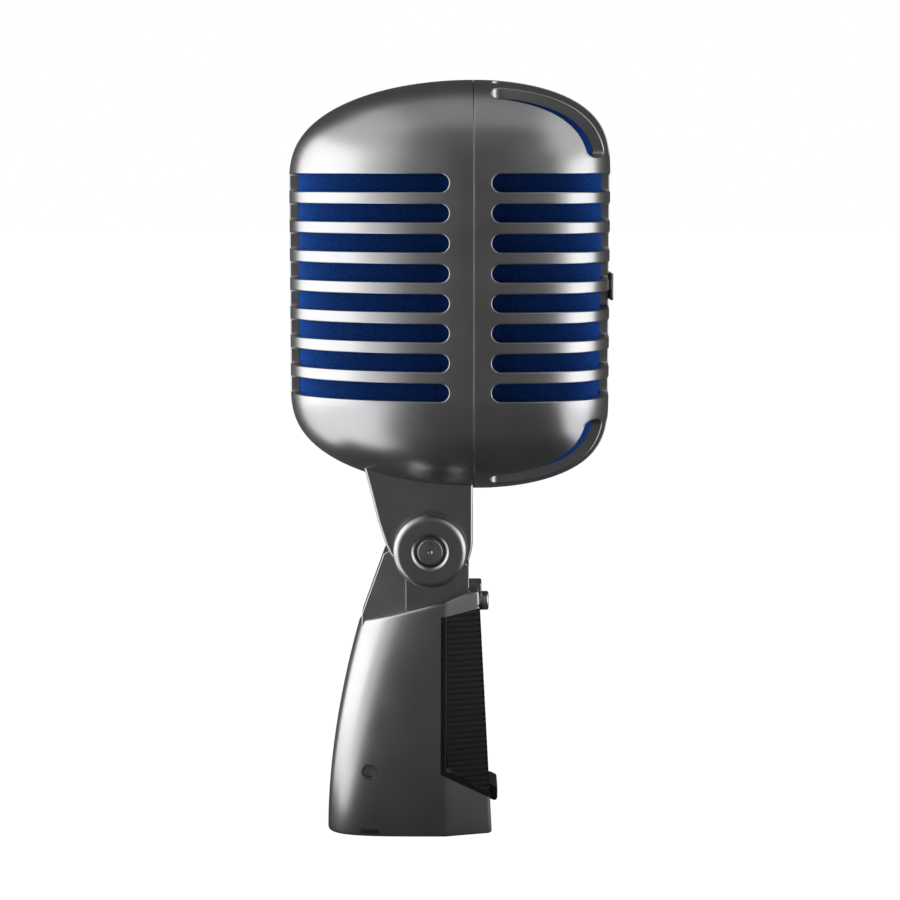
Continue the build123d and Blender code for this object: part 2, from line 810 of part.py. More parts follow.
with BuildPart() as ribs:
    for level in rib_levels:
        with BuildSketch(Plane.XY.offset(level)):
            with BuildLine():
                Polyline(*rib_outline(level + rib_height, 0), close=True)
            make_face()
            with BuildLine():
                Polyline(*rib_outline(level, rib_depth + seat_gap), close=True)
            make_face(mode=Mode.SUBTRACT)
        extrude(amount=rib_height)

with BuildPart() as front_panel:
    add(base_form(rib_depth, 0, base_loft_height))
    add(base_form(panel_depth - seat_gap, 0, base_loft_height), mode=Mode.SUBTRACT)
    add(ribs.part)
    add(panel_prism(-seat_gap, -seat_gap, -seat_gap), mode=Mode.INTERSECT)
    with Locations(Location((panel_screw_end, 0, panel_screw_height), (0, 90, 0))):
        Cylinder(panel_screw_shank + loose_gap, 2 * base_front, mode=Mode.SUBTRACT)
write(front_panel.part, "front_panel")

lip_back = base_outline(lip_low / base_loft_height, 0)[2] + seat_gap
with BuildPart() as panel_frame:
    add(base_skin)
    add(base_form(panel_depth - seat_gap, 0, base_loft_height), mode=Mode.SUBTRACT)
    add(panel_prism(frame_side - seat_gap, frame_low - seat_gap, -seat_gap), mode=Mode.INTERSECT)
    add(panel_prism(0, 0, loose_gap), mode=Mode.SUBTRACT)
    with BuildSketch(Plane.XZ):
        with Locations((lip_back, lip_low)):
            Rectangle(lip_proud, lip_top - lip_low, align=(Align.MIN, Align.MIN))
        with Locations((lip_back, lip_low)):
            Rectangle(panel_depth, panel_low_front - lip_low - seat_gap,
                      align=(Align.MAX, Align.MIN))
    extrude(amount=lip_width / 2, both=True)
    lip_edges = panel_frame.edges().filter_by(Axis.Y).sort_by(Axis.X)[-2:]
    fillet(lip_edges, lip_round)
write(panel_frame.part, "panel_frame")

panel_screw_seat = base_front_top + seat_gap + rib_depth
with BuildPart() as panel_screw:
    with BuildSketch(Plane.YZ.offset(panel_screw_seat)):
        with Locations((0, panel_screw_height)):
            Circle(panel_screw_radius)
    extrude(amount=panel_screw_head)
    fillet(panel_screw.edges().sort_by(Axis.X)[-1], panel_screw_round)
    with BuildSketch(Plane.YZ.offset(panel_screw_seat)):
        with Locations((0, panel_screw_height)):
            Circle(panel_screw_shank)
    extrude(amount=panel_screw_end + loose_gap - panel_screw_seat)
write(panel_screw.part, "panel_screw")

# ---- base: stand thread, cable socket and set screw -------------------------
with BuildPart() as thread_bushing:
    with BuildSketch(Plane.XY):
        Circle(thread_bore_radius + bushing_wall)
        Circle(thread_bore_radius, mode=Mode.SUBTRACT)
    extrude(amount=thread_length)
write(thread_bushing.part, "thread_bushing")

contact_places = [(contact_circle * cos(radians(angle)) - socket_offset,
                   contact_circle * sin(radians(angle))) for angle in contact_angles]
with BuildPart() as connector_insert:
    with BuildSketch(Plane.XY.offset(insert_low)):
        with Locations((-socket_offset, 0)):
            Circle(socket_radius - seat_gap)
        with Locations(*contact_places):
            Circle(contact_radius + seat_gap, mode=Mode.SUBTRACT)
    extrude(amount=insert_thickness)
write(connector_insert.part, "connector_insert")

contact_tip = insert_low - contact_length
for number, (x, y) in enumerate(contact_places, start=1):
    with BuildPart() as contact:
        with BuildSketch(Plane.XY.offset(contact_tip)):
            with Locations((x, y)):
                Circle(contact_radius)
        extrude(amount=contact_length + insert_thickness + contact_tail)
        fillet(contact.edges().sort_by(Axis.Z)[0], contact_round)
    write(contact.part, f"contact_pin_{number}")

with BuildPart() as set_screw:
    with BuildSketch(Plane.XZ.offset(set_screw_in + seat_gap)):
        with Locations((-socket_offset, set_screw_height)):
            Circle(set_screw_radius)
    extrude(amount=set_screw_out - set_screw_in - seat_gap)
write(set_screw.part, "set_screw")

# ---- leads ------------------------------------------------------------------
lead_route = [
    (-socket_offset, 0, insert_top + contact_tail + loose_gap),
    (-socket_offset, 0, insert_top + lead_rise),
    (-neck_channel_offset, 0, cavity_top - lead_radius),
    (-neck_channel_offset, 0, pivot_height - lead_radius),
]


def run_radii(points):
    """The largest arc for each corner of a route that its two runs leave room for."""
    radii = []
    for before, corner, after in zip(points, points[1:], points[2:]):
        first = Vector(*corner) - Vector(*before)
        second = Vector(*after) - Vector(*corner)
        half_turn = radians(first.get_angle(second)) / 2
        radii.append(lead_arc_share * min(first.length, second.length) / tan(half_turn))
    return radii


lead_radii = run_radii(lead_route)
print("lead radii", [round(radius, 1) for radius in lead_radii])
with BuildPart() as base_lead:
    with BuildLine() as lead_path:
        FilletPolyline(*lead_route, radius=lead_radii)
    with BuildSketch(Plane(origin=lead_route[0], z_dir=(0, 0, 1))):
        Circle(lead_radius)
    sweep()
write(base_lead.part, "base_lead")
lead_volume = pi * lead_radius**2 * lead_path.wires()[0].length
print("lead volume over section times length", round(base_lead.part.volume / lead_volume, 4))

with BuildPart() as head_lead:
    with BuildSketch(Plane.XY.offset(bridge_low)):
        with Locations((stem_x, 0)):
            Circle(lead_radius)
    extrude(amount=transformer_low - loose_gap - bridge_low)
write(head_lead.part, "head_lead")
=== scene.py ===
# %% [markdown]
# # A slotted stage microphone on a tilting base
#
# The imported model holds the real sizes, the joints and every inner piece. This script gives it its looks:
# pressed metal shells with rolled slot edges, foam behind them, turned pivot discs, a cast base with a
# ribbed black panel, and the finish of each piece. Everything is in metres, with +Z up and +X to the front.

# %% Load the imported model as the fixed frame
from contextlib import contextmanager
import bmesh
import bpy
import numpy as np
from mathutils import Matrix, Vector


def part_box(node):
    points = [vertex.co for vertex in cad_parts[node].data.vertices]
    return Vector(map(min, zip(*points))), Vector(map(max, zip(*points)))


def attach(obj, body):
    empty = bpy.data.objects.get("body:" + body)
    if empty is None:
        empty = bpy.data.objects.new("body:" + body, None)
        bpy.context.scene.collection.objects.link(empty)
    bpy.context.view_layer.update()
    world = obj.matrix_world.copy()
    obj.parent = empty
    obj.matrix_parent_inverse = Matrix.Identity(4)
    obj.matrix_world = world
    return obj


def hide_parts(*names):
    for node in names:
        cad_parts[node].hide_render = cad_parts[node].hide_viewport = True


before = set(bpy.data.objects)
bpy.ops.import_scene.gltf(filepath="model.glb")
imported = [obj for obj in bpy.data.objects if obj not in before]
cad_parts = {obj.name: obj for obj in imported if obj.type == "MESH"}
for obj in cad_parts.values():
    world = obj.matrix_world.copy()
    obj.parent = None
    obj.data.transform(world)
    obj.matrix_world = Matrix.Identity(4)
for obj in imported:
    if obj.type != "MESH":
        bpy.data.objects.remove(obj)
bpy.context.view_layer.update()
mm = 0.001


def box(node):
    """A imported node's lowest and highest corners, in millimetres."""
    low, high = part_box(node)
    return np.array(low) / mm, np.array(high) / mm


# %% [markdown]
# ## Camera and studio
#
# The camera stands level with the upper third of the object and looks a little down on it through a long
# lens, which keeps the outlines nearly straight. The finish is a dark satin metal, and metal shows only what
# stands round it. So the studio is built like a real one for polished metal: a tall soft light on each side,
# bright sheets on the table under them, and dark cards in front, behind and overhead that give the shells
# their dark middle and dark rims. A plain bright room would make the same metal look like grey paint.

# %% The camera
scene = bpy.context.scene
scene.view_settings.view_transform = "Standard"


def add_object(name, data):
    """A new object in the scene that holds some data: a mesh, a camera or a light."""
    made = bpy.data.objects.new(name, data)
    scene.collection.objects.link(made)
    return made


def add_facing(name, data, place, target):
    """A camera or a light at a place in millimetres, turned to face a target."""
    made = add_object(name, data)
    made.location = Vector(place) * mm
    made.rotation_euler = (Vector(target) - Vector(place)).to_track_quat("-Z", "Y").to_euler()
    return made


camera_x, camera_distance, camera_height, target_height = 1.25, 571, 165.6, 96.1
camera_data = bpy.data.cameras.new("camera")
camera_data.lens = 91.68
camera_data.sensor_width = 36.0
camera_data.clip_end = 20.0
scene.camera = add_facing("camera", camera_data, (camera_x, -camera_distance, camera_height),
                          (camera_x, 0, target_height))

# %% The two soft lights: the left one is larger and brighter
for name, place, target, size, power in (
        ("left_light", (-480, -60, 270), (0, -60, 270), (640, 540), 1.52),
        ("right_light", (480, -110, 165), (0, -20, 165), (440, 330), 0.6)):
    light_data = bpy.data.lights.new(name, "AREA")
    light_data.shape = "RECTANGLE"
    light_data.size, light_data.size_y = size[0] * mm, size[1] * mm
    light_data.energy = power
    add_facing(name, light_data, place, target)


# %% Nodes of a material, with short names
def set_values(node, values):
    """Sets a node's properties, or else its inputs, by name; _ stands for a space in an input's name."""
    for name, value in values.items():
        if hasattr(node, name):
            setattr(node, name, value)
        else:
            node.inputs[name.replace("_", " ")].default_value = value


def add_node(tree, kind, **values):
    """A node in a tree, with its values set."""
    node = tree.nodes.new(kind)
    set_values(node, values)
    return node


def new_material(name, **values):
    """A material with a Principled shader, whose values are set; returns the material, tree and shader."""
    material = bpy.data.materials.new(name)
    material.use_nodes = True
    shader = material.node_tree.nodes["Principled BSDF"]
    set_values(shader, values)
    return material, material.node_tree, shader


# %% World and floor: white to the camera and in reflections, plain soft light otherwise
def ray_share(tree):
    """One for camera, glossy and transmission rays, and zero for the rest."""
    path = tree.nodes.new("ShaderNodeLightPath")
    share = path.outputs["Is Camera Ray"]
    for kind in ("Is Glossy Ray", "Is Transmission Ray"):
        larger = add_node(tree, "ShaderNodeMath", operation="MAXIMUM")
        tree.links.new(share, larger.inputs[0])
        tree.links.new(path.outputs[kind], larger.inputs[1])
        share = larger.outputs[0]
    return share


room_diffuse_level = 0.02
world = bpy.data.worlds.new("studio")
scene.world = world
world.use_nodes = True
tree = world.node_tree
room = tree.nodes["Background"]
set_values(room, {"Color": (1, 1, 1, 1)})
strength = add_node(tree, "ShaderNodeMapRange", To_Min=room_diffuse_level)
tree.links.new(ray_share(tree), strength.inputs["Value"])
tree.links.new(strength.outputs["Result"], room.inputs["Strength"])


def flat_sheet(name, corners, material):
    """A flat sheet with its corners in millimetres and one material."""
    mesh = bpy.data.meshes.new(name)
    mesh.from_pydata([tuple(c * mm for c in corner) for corner in corners], [], [tuple(range(len(corners)))])
    mesh.materials.append(material)
    sheet = add_object(name, mesh)
    return sheet


floor_glow, floor_glow_share, floor_reach = 1.09, 0.93, 6000
floor_paint, tree, shader = new_material("floor_paint", Base_Color=(0.85, 0.85, 0.85, 1), Roughness=0.9)
glow = add_node(tree, "ShaderNodeEmission", Strength=floor_glow)
blend = add_node(tree, "ShaderNodeMixShader")
lift = add_node(tree, "ShaderNodeMath", operation="MULTIPLY")
lift.inputs[1].default_value = floor_glow_share
for source, target in ((ray_share(tree), lift.inputs[0]), (lift.outputs[0], blend.inputs["Fac"]),
                       (shader.outputs[0], blend.inputs[1]), (glow.outputs[0], blend.inputs[2]),
                       (blend.outputs[0], tree.nodes["Material Output"].inputs["Surface"])):
    tree.links.new(source, target)
flat_sheet("floor", [(x * floor_reach, y * floor_reach, 0) for x, y in ((-1, -1), (1, -1), (1, 1), (-1, 1))],
           floor_paint)


# %% The cards, seen only in reflections
card_blueness = 1.02  # a card's blue over its red and green, which makes the metal a little cooler


def card(name, brightness, corners):
    """A sheet of one brightness that only reflections see: it blocks neither the camera nor any light."""
    paint, tree, _ = new_material(name + "_paint")
    glow = add_node(tree, "ShaderNodeEmission", Strength=1.0,
                    Color=(brightness, brightness, brightness * card_blueness, 1))
    tree.links.new(glow.outputs[0], tree.nodes["Material Output"].inputs["Surface"])
    sheet = flat_sheet(name, corners, paint)
    sheet.visible_camera = False
    sheet.visible_diffuse = False
    sheet.visible_shadow = False
    sheet.visible_transmission = False


def upright(start, end, foot, top):
    """Corners of an upright card over the line between two plan points."""
    return [(*start, foot), (*end, foot), (*end, top), (*start, top)]


def laid(height, *points):
    """Corners of a card that lies flat at a height."""
    return [(*point, height) for point in points]


near, back = -620, 330  # where the front and the back cards stand
slim, edge, back_edge = 120, 410, 380  # half widths of the middle, the front and the back cards
front_top, hood_y, hood_z = 700, -280, 900
knee = 50  # the height up to which the front cards are darker, as the table in front is
table_low, table_mid, table_high = 0.02, 0.04, 0.06  # the sheets on the table lie just over each other
dark_near_left, dark_near_right = (-105, -85), (130, -85)  # the dark patch round the base
dark_far_left, dark_far_right = (-105, 44), (130, 15)
right_near, right_far, left_far = (600, near), (900, 0), (-480, 262)

card("front_middle", 0.09, upright((-slim, near), (slim, near), table_low, front_top))
for side, name, brightness, wide in ((-1, "left", 0.22, edge), (1, "right", 0.21, edge + 140)):
    start, end = (side * slim, near), (side * wide, near)
    card(f"front_{name}", brightness, upright(start, end, knee, front_top))
    card(f"front_{name}_low", 0.06, upright(start, end, table_low, knee))
for name, brightness, corners in (
        ("table_left", 1.6, laid(table_high, (-52, -36), (-edge, near), (-900, 0), (-900, 262), left_far,
                                 dark_far_left, (-105, -15), (-62, -24))),
        ("table_right", 1.6, laid(table_low, dark_near_right, right_near, right_far, dark_far_right)),
        ("hood", 0.15, [(-edge, near, front_top), (edge, near, front_top), (300, hood_y, hood_z),
                        (-300, hood_y, hood_z)]),
        ("ceiling", 0.42, laid(hood_z, (-250, hood_y), (250, hood_y), (250, back), (-250, back))),
        ("back", 0.07, upright((-back_edge, back), (back_edge, back), table_low, hood_z)),
        ("left_back", 0.08, upright((-back_edge, back), (-485, 266), table_low, hood_z)),
        ("right_back", 0.1, upright((back_edge, back), (490, 100), table_low, hood_z)),
        ("table_front", 0.08, laid(table_mid, dark_near_left, dark_near_right, right_near, (-edge, near))),
        ("table_back", 0.07, laid(table_mid, dark_far_left, dark_far_right, right_far, (420, back),
                                  (-420, back), left_far)),
        ("table_middle", 0.05, laid(table_mid, dark_near_left, dark_near_right, dark_far_right,
                                    dark_far_left))):
    card(name, brightness, corners)

# %% [markdown]
# ## Turning grids of points into pieces
#
# Every new surface here is a grid: rows and columns of points worked out by a formula as whole numpy arrays.
# Neighbouring grids share their border points exactly, so merging the doubles sews them into one closed
# skin. That keeps each edge where the formula says it is, which a sculpted or cut mesh would not.

# %% Grids to faces, and faces to a piece
metal_smooth_angle = np.radians(40)


def grid_faces(rows, columns, start=0, flip=False, keep=None):
    """Quads between neighbours of a rows by columns grid whose first point is number start.

    keep is an optional (rows-1) by (columns-1) mask of the quads that exist.
    """
    number = start + np.arange(rows * columns).reshape(rows, columns)
    quads = np.stack([number[:-1, :-1], number[:-1, 1:], number[1:, 1:], number[1:, :-1]], axis=-1)
    quads = quads.reshape(-1, 4) if keep is None else quads[keep]
    return quads[:, ::-1] if flip else quads


@contextmanager
def opened(mesh, save=True):
    """A mesh opened for editing, and saved when the block ends."""
    form = bmesh.new()
    form.from_mesh(mesh)
    yield form
    if save:
        form.to_mesh(mesh)
    form.free()


def shade(mesh, sharp_angle):
    """Smooth faces, with edges sharp past an angle."""
    mesh.polygons.foreach_set("use_smooth", np.ones(len(mesh.polygons), dtype=bool))
    mesh.set_sharp_from_angle(angle=sharp_angle)


class Skin:
    """Gathers grids of points, in millimetres, and sews them into one mesh."""

    merge = 0.002  # points closer than this are one

    def __init__(self):
        self.points, self.faces, self.count = [], [], 0

    def add(self, grid, flip=False, keep=None):
        """Adds a rows by columns by 3 grid; flip turns its faces over."""
        rows, columns = grid.shape[:2]
        self.points.append(grid.reshape(-1, 3))
        self.faces.append(grid_faces(rows, columns, self.count, flip, keep))
        self.count += rows * columns

    def piece(self, name, smooth=metal_smooth_angle, outward=False):
        """Makes the object: doubles merged, no-area faces dropped, edges sharp past the smooth angle.

        outward turns all faces outwards, for a closed skin whose grids run in mixed directions.
        """
        mesh = bpy.data.meshes.new(name)
        mesh.from_pydata(np.concatenate(self.points) * mm, [], np.concatenate(self.faces))
        with opened(mesh) as form:
            bmesh.ops.remove_doubles(form, verts=form.verts, dist=self.merge * mm)
            bmesh.ops.dissolve_degenerate(form, edges=form.edges, dist=self.merge * mm / 2)
            bmesh.ops.delete(form, geom=[edge for edge in form.edges if edge.is_wire], context="EDGES")
            if outward:
                bmesh.ops.recalc_face_normals(form, faces=form.faces)
        shade(mesh, smooth)
        return add_object(name, mesh)


def closed(name, *grids):
    """A closed piece sewn from grids that run in any direction; its faces are turned outwards."""
    skin = Skin()
    for grid in grids:
        skin.add(grid)
    return skin.piece(name, outward=True)


def report(piece):
    """Prints a piece's size as a check on its skin.

    An open edge doesn't join exactly two faces that point the same way, and a closed skin has none. The
    volume, in cubic centimetres, is positive when the faces point outwards.
    """
    with opened(piece.data, save=False) as form:
        loose = sum(1 for edge in form.edges if not edge.is_contiguous)
        amount = form.calc_volume(signed=True) * 1e6
    print(piece.name, "faces", len(piece.data.polygons), "open edges", loose, "volume", round(amount, 3))

# %% [markdown]
# ## Carving and rounding
#
# Cast pieces have holes, recesses and rounded edges. A few plain tools cut them: a prism with any outline,
# and a round plug. The cuts and the roundings are applied at once, in the order that they are listed, so a
# piece's mesh is final. Rounding comes before a cut where the cut's edge has to stay crisp.

# %% Tools for cutting, and the cutting itself
def prism(name, outline, low, high, axis=1):
    """A prism along an axis (0, 1 or 2) from low to high; the outline's two values are the other two axes."""
    outline = np.asarray(outline, dtype=float)
    count = len(outline)
    points = np.concatenate([np.insert(outline, axis, level, axis=1) for level in (low, high)])
    index = np.arange(count)
    sides = np.stack([index, np.roll(index, -1), np.roll(index, -1) + count, index + count], axis=-1)
    mesh = bpy.data.meshes.new(name)
    mesh.from_pydata(points * mm, [], [tuple(index), tuple(index + count), *map(tuple, sides)])
    with opened(mesh) as form:
        bmesh.ops.recalc_face_normals(form, faces=form.faces)
    return add_object(name, mesh)


def rectangle(low, high):
    """The outline of a rectangle between two corners."""
    return [(low[0], low[1]), (high[0], low[1]), (high[0], high[1]), (low[0], high[1])]


def plug(name, centre, radius, low, high, axis=1, steps=96):
    """A round plug along an axis; centre's two values are the other two axes."""
    turn = np.linspace(0, 2 * np.pi, steps, endpoint=False)
    outline = np.array(centre) + radius * np.stack([np.cos(turn), np.sin(turn)], axis=-1)
    return prism(name, outline, low, high, axis)


rounding_angle, rounding_segments = np.radians(39), 3  # edges that turn by less than this stay as they are
sliver = 0.001  # the size under which edges left by a cut are closed up


def carve(piece, *changes, smooth=metal_smooth_angle):
    """Applies changes in order: a tool to take away, ("UNION", tool) and the like, or ("round", width).

    The tools are used up. Where roundings meet in a corner a sliver can be left open, so small holes are
    filled at the end.
    """
    changes = [change if isinstance(change, tuple) else ("DIFFERENCE", change) for change in changes]
    for kind, value in changes:
        if kind == "round":
            step = piece.modifiers.new("rounding", "BEVEL")
            step.width, step.segments = value * mm, rounding_segments
            step.limit_method, step.angle_limit = "ANGLE", rounding_angle
            step.use_clamp_overlap = False
        else:
            step = piece.modifiers.new("cut", "BOOLEAN")
            step.operation, step.solver, step.object = kind, "EXACT", value
    graph = bpy.context.evaluated_depsgraph_get()
    graph.update()
    mesh = bpy.data.meshes.new_from_object(piece.evaluated_get(graph))
    piece.modifiers.clear()
    piece.data = mesh
    for kind, tool in changes:
        if kind != "round":
            bpy.data.objects.remove(tool)
    with opened(mesh) as form:
        bmesh.ops.remove_doubles(form, verts=form.verts, dist=sliver * mm)
        bmesh.ops.dissolve_degenerate(form, edges=form.edges, dist=sliver * mm)
        bmesh.ops.holes_fill(form, edges=form.edges, sides=4)
    shade(mesh, smooth)

# %% [markdown]
# ## Finishes
#
# The shells, fork, discs and base are die cast or pressed metal with a dark satin chrome: it mirrors large
# soft shapes but no detail. Its gloss isn't even: here and there is a slightly duller or darker patch. A
# plain roughness value would look like plastic, so noise in object space varies the roughness and the tone.
# The pattern is in the piece's own coordinates, so it stays put on each piece.

# %% Building blocks for the finishes
cloud_scale, haze_scale, mould_scale, film_scale, pore_scale = 70, 110, 120, 900, 3200  # spots to the metre
haze_spread, grain_spread = 0.02, 0.06  # how far a finish's roughness varies each way


def noise(tree, scale, detail):
    """A noise value in object space; scale is in spots to the metre."""
    coordinates = tree.nodes.new("ShaderNodeTexCoord")
    texture = add_node(tree, "ShaderNodeTexNoise", Scale=scale, Detail=detail)
    tree.links.new(coordinates.outputs["Object"], texture.inputs["Vector"])
    return texture.outputs["Fac"]


def spread(tree, value, low, high, start=0.3, end=0.7):
    """A value between start and end, carried over to low and high."""
    mapped = add_node(tree, "ShaderNodeMapRange", From_Min=start, From_Max=end, To_Min=low, To_Max=high)
    tree.links.new(value, mapped.inputs["Value"])
    return mapped.outputs["Result"]


def tint(tree, value, dark, light, start=0.3, end=0.7):
    """A colour between two, chosen by a value between start and end."""
    ramp = tree.nodes.new("ShaderNodeValToRGB")
    for stop, place, colour in zip(ramp.color_ramp.elements, (start, end), (dark, light)):
        stop.position, stop.color = place, (*colour, 1)
    tree.links.new(value, ramp.inputs["Fac"])
    return ramp.outputs["Color"]


def relief(tree, shader, value, depth):
    """Bumps of a depth in millimetres."""
    bump = add_node(tree, "ShaderNodeBump", Strength=1.0, Distance=depth * mm)
    tree.links.new(value, bump.inputs["Height"])
    tree.links.new(bump.outputs["Normal"], shader.inputs["Normal"])


def patchy(tree, shader, clouds, dark, light, gloss, roughness, change):
    """A tone that follows one noise, and a roughness that follows another by a change each way."""
    tree.links.new(tint(tree, clouds, dark, light), shader.inputs["Base Color"])
    tree.links.new(spread(tree, gloss, roughness - change, roughness + change), shader.inputs["Roughness"])


def satin_metal(name, dark, light, roughness):
    """Metal with slow changes of tone and of gloss; finer grain would only sparkle at this size."""
    material, tree, shader = new_material(name, Metallic=1.0)
    clouds, haze = noise(tree, cloud_scale, 3.0), noise(tree, haze_scale, 1.0)
    patchy(tree, shader, clouds, dark, light, haze, roughness, haze_spread)
    return material


def moulded(name, dark, light, roughness, grain=1800, grain_depth=0.01):
    """Moulded plastic or rubber with a fine texture."""
    material, tree, shader = new_material(name)
    clouds, fine = noise(tree, mould_scale, 3.0), noise(tree, grain, 3.0)
    patchy(tree, shader, clouds, dark, light, fine, roughness, grain_spread)
    relief(tree, shader, fine, grain_depth)
    return material


# %% Metals, plastics and rubber
finishes = {
    "dark_chrome": satin_metal("dark_chrome_finish", (0.4, 0.4, 0.405), (0.44, 0.44, 0.445), 0.30),
    "turned_steel": satin_metal("turned_steel_finish", (0.56, 0.56, 0.57), (0.62, 0.62, 0.62), 0.28),
    "magnet_metal": satin_metal("magnet_finish", (0.4, 0.4, 0.42), (0.48, 0.48, 0.5), 0.35),
    "brass_insert": satin_metal("brass_finish", (0.72, 0.53, 0.25), (0.8, 0.6, 0.3), 0.25),
    "contact_metal": satin_metal("contact_finish", (0.72, 0.72, 0.7), (0.8, 0.8, 0.78), 0.2),
    "black_plastic": moulded("black_plastic_finish", (0.012, 0.012, 0.012), (0.018, 0.018, 0.018), 0.3),
    "black_panel": moulded("black_panel_finish", (0.004, 0.004, 0.004), (0.008, 0.008, 0.008), 0.6),
    "black_rubber": moulded("black_rubber_finish", (0.015, 0.015, 0.015), (0.025, 0.025, 0.025), 0.7),
    "lead_sheath": moulded("lead_sheath_finish", (0.02, 0.02, 0.02), (0.03, 0.03, 0.03), 0.55),
    "green_board": moulded("green_board_finish", (0.01, 0.11, 0.045), (0.02, 0.16, 0.07), 0.4),
    "transformer_iron": moulded("transformer_finish", (0.1, 0.085, 0.07), (0.16, 0.14, 0.12), 0.5, 500, 0.05),
}

# %% [markdown]
# The diaphragm is a thin clear film. Glass-like transmission shows the parts behind it, and a little
# roughness keeps it from looking like a lens.

# %% The clear film
film, tree, shader = new_material("clear_film_finish", Base_Color=(0.9, 0.92, 0.9, 1),
                                  Transmission_Weight=0.85, IOR=1.5)
tree.links.new(spread(tree, noise(tree, film_scale, 2.0), 0.08, 0.16), shader.inputs["Roughness"])
finishes["clear_film"] = film

# %% [markdown]
# The foam is open-cell foam dyed blue, with thousands of tiny pores. Its colour is painted darker where it
# is seen straight on and brighter towards the outline: a painted sheen by the angle of view, over the
# shader's own soft sheen. A cell pattern makes the pores, deeper than the struts, and their darker colour is
# painted shade.

# %% The blue foam
pore_depth = 0.07
painted_sheen_gain = (0.75, 2.6)  # painted sheen: the colour's brightness straight on and at the outline
foam_finish, tree, shader = new_material(
    "blue_foam_finish", Roughness=0.95, Specular_IOR_Level=0.05,
    Sheen_Weight=0.9, Sheen_Roughness=0.35, Sheen_Tint=(0.0, 0.11, 0.5, 1))
coordinates = tree.nodes.new("ShaderNodeTexCoord")
cells = add_node(tree, "ShaderNodeTexVoronoi", Scale=pore_scale)
tree.links.new(coordinates.outputs["Object"], cells.inputs["Vector"])
pores = spread(tree, cells.outputs["Distance"], 0.0, 1.0, 0.1, 0.6)
# the cell pattern's colour: the pattern is the foam's own, and the darker pores are painted shade
cells_with_painted_pore_shade = tint(tree, pores, (0.006, 0.019, 0.086), (0.012, 0.064, 0.305), 0.1, 0.9)
painted_sheen_facing = add_node(tree, "ShaderNodeLayerWeight", Blend=0.5)  # 0 straight on, 1 at the outline
# the colour painted brighter towards the outline: a painted sheen by the angle of view
glow = add_node(tree, "ShaderNodeHueSaturation")
tree.links.new(spread(tree, painted_sheen_facing.outputs["Facing"], *painted_sheen_gain, 0.0, 1.0), glow.inputs["Value"])
tree.links.new(cells_with_painted_pore_shade, glow.inputs["Color"])
tree.links.new(glow.outputs["Color"], shader.inputs["Base Color"])
relief(tree, shader, pores, pore_depth)
finishes["blue_foam"] = foam_finish
print("finishes:", ", ".join(sorted(finishes)))

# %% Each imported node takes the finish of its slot
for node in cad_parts.values():
    for place in node.material_slots:
        if place.material and place.material.name in finishes:
            place.material = finishes[place.material.name]


def finish(piece, body, slot, *nodes):
    """Gives a new piece its finish, the body that it rides on and the nodes that it stands for.

    Weighted normals let the large faces set the shading, so that flat faces look flat beside a rounding.
    """
    weights = piece.modifiers.new("weights", "WEIGHTED_NORMAL")
    weights.keep_sharp = True
    piece.data.materials.clear()
    piece.data.materials.append(finishes[slot])
    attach(piece, body)
    if nodes:
        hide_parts(*nodes)
    report(piece)

# %% [markdown]
# ## The two grille shells
#
# The head is two metal shells that meet at an upright seam. Its level section is half an ellipse behind the
# seam and a squarer superellipse in front of it, and it closes above and below in two domes. Eight level
# slots run round each side to a rib at the back and at the front, and more slots fan out over the front of
# the domes. A shell could be cut with Booleans, but then its slot edges would be sharp, and it is the
# rolled edges that catch the light. So each strip of metal between two slots is its own grid, whose borders
# follow the slots, and the rolled edge is the same grid worked out again a little wider and deeper.

# %% The head's form
seam_x = 6.9
slot_rows = 8
slot_pitch = 7.1
slot_half = 4.3 / 2  # at the throat, inside the rolled edge
slot_rise = 0.6  # of the pattern of slots above the head's middle
wall = 2.2
head_low_corner, head_high_corner = box("rear_grille")
front_low_corner, front_high_corner = box("front_grille")
head_middle = (head_low_corner[2] + head_high_corner[2]) / 2
head_half_width = head_high_corner[1]
turn_samples = 4001  # plan angles tried where a formula has to be read backwards
head_back = seam_x - head_low_corner[0]
head_front = front_high_corner[0] - seam_x
straight_half = 25.5
dome_rise = head_high_corner[2] - head_middle - straight_half
row_heights = head_middle + slot_rise + slot_pitch * (np.arange(slot_rows) - (slot_rows - 1) / 2)


class Half:
    """One half of the head: the rear one behind the seam, or the front one before it."""

    def __init__(self, way, reach, dome_power, plan_power, slot_start):
        self.way, self.reach, self.dome_power, self.plan_power = way, reach, dome_power, plan_power
        self.slot_start = slot_start


rear_half = Half(-1, head_back, 2.5, 2.0, 5.9)
front_half = Half(1, head_front, 3.4, 3.0, 4.3)
rib_half, rib_round = 2.0, 1.3  # half width of the ribs, and the rounding of the slots' corners there
seam_gap = 0.05  # from the seam plane to each shell
print("head from the seam:", round(head_back, 2), "back,", round(head_front, 2), "front")


def rise_share(height, inset):
    """How far up or down a dome a height lies, from 0 on the upright wall to 1 at the top."""
    return np.clip((np.abs(height - head_middle) - straight_half) / (dome_rise - inset), 0, 1)


def unit_turn(power, turn):
    """A superellipse's unit point at a plan angle: share along the reach, and share across.

    Each of cosine and sine is divided by the distance (|cos|^n + |sin|^n)^(1/n), so that the point's
    shares, raised to the power n, add up to one. On the head, angle 0 is straight ahead or behind and a
    quarter turn is the seam.
    """
    along, across = np.cos(turn), np.sin(turn)
    spoke = (np.abs(along) ** power + np.abs(across) ** power) ** (-1 / power)
    return along * spoke, across * spoke


def head_skin(half, turn, height, inset, gap):
    """Points of one half's skin at plan angles and heights, drawn in by inset and back from the seam by gap.

    At a share s up the dome the half width shrinks by the root of 1 - s^2, and the reach by the root
    of 1 - s^p, so the skin is level at its top and upright at its foot.
    """
    share = rise_share(height, inset)
    width = (head_half_width - inset) * np.sqrt(1 - share**2)
    reach = (half.reach - inset) * np.sqrt(1 - share**half.dome_power)
    along, across = unit_turn(half.plan_power, turn)
    x = seam_x + half.way * (gap + np.maximum(reach - gap, 0) * np.abs(along))
    return np.stack(np.broadcast_arrays(x, width * across, height), axis=-1)


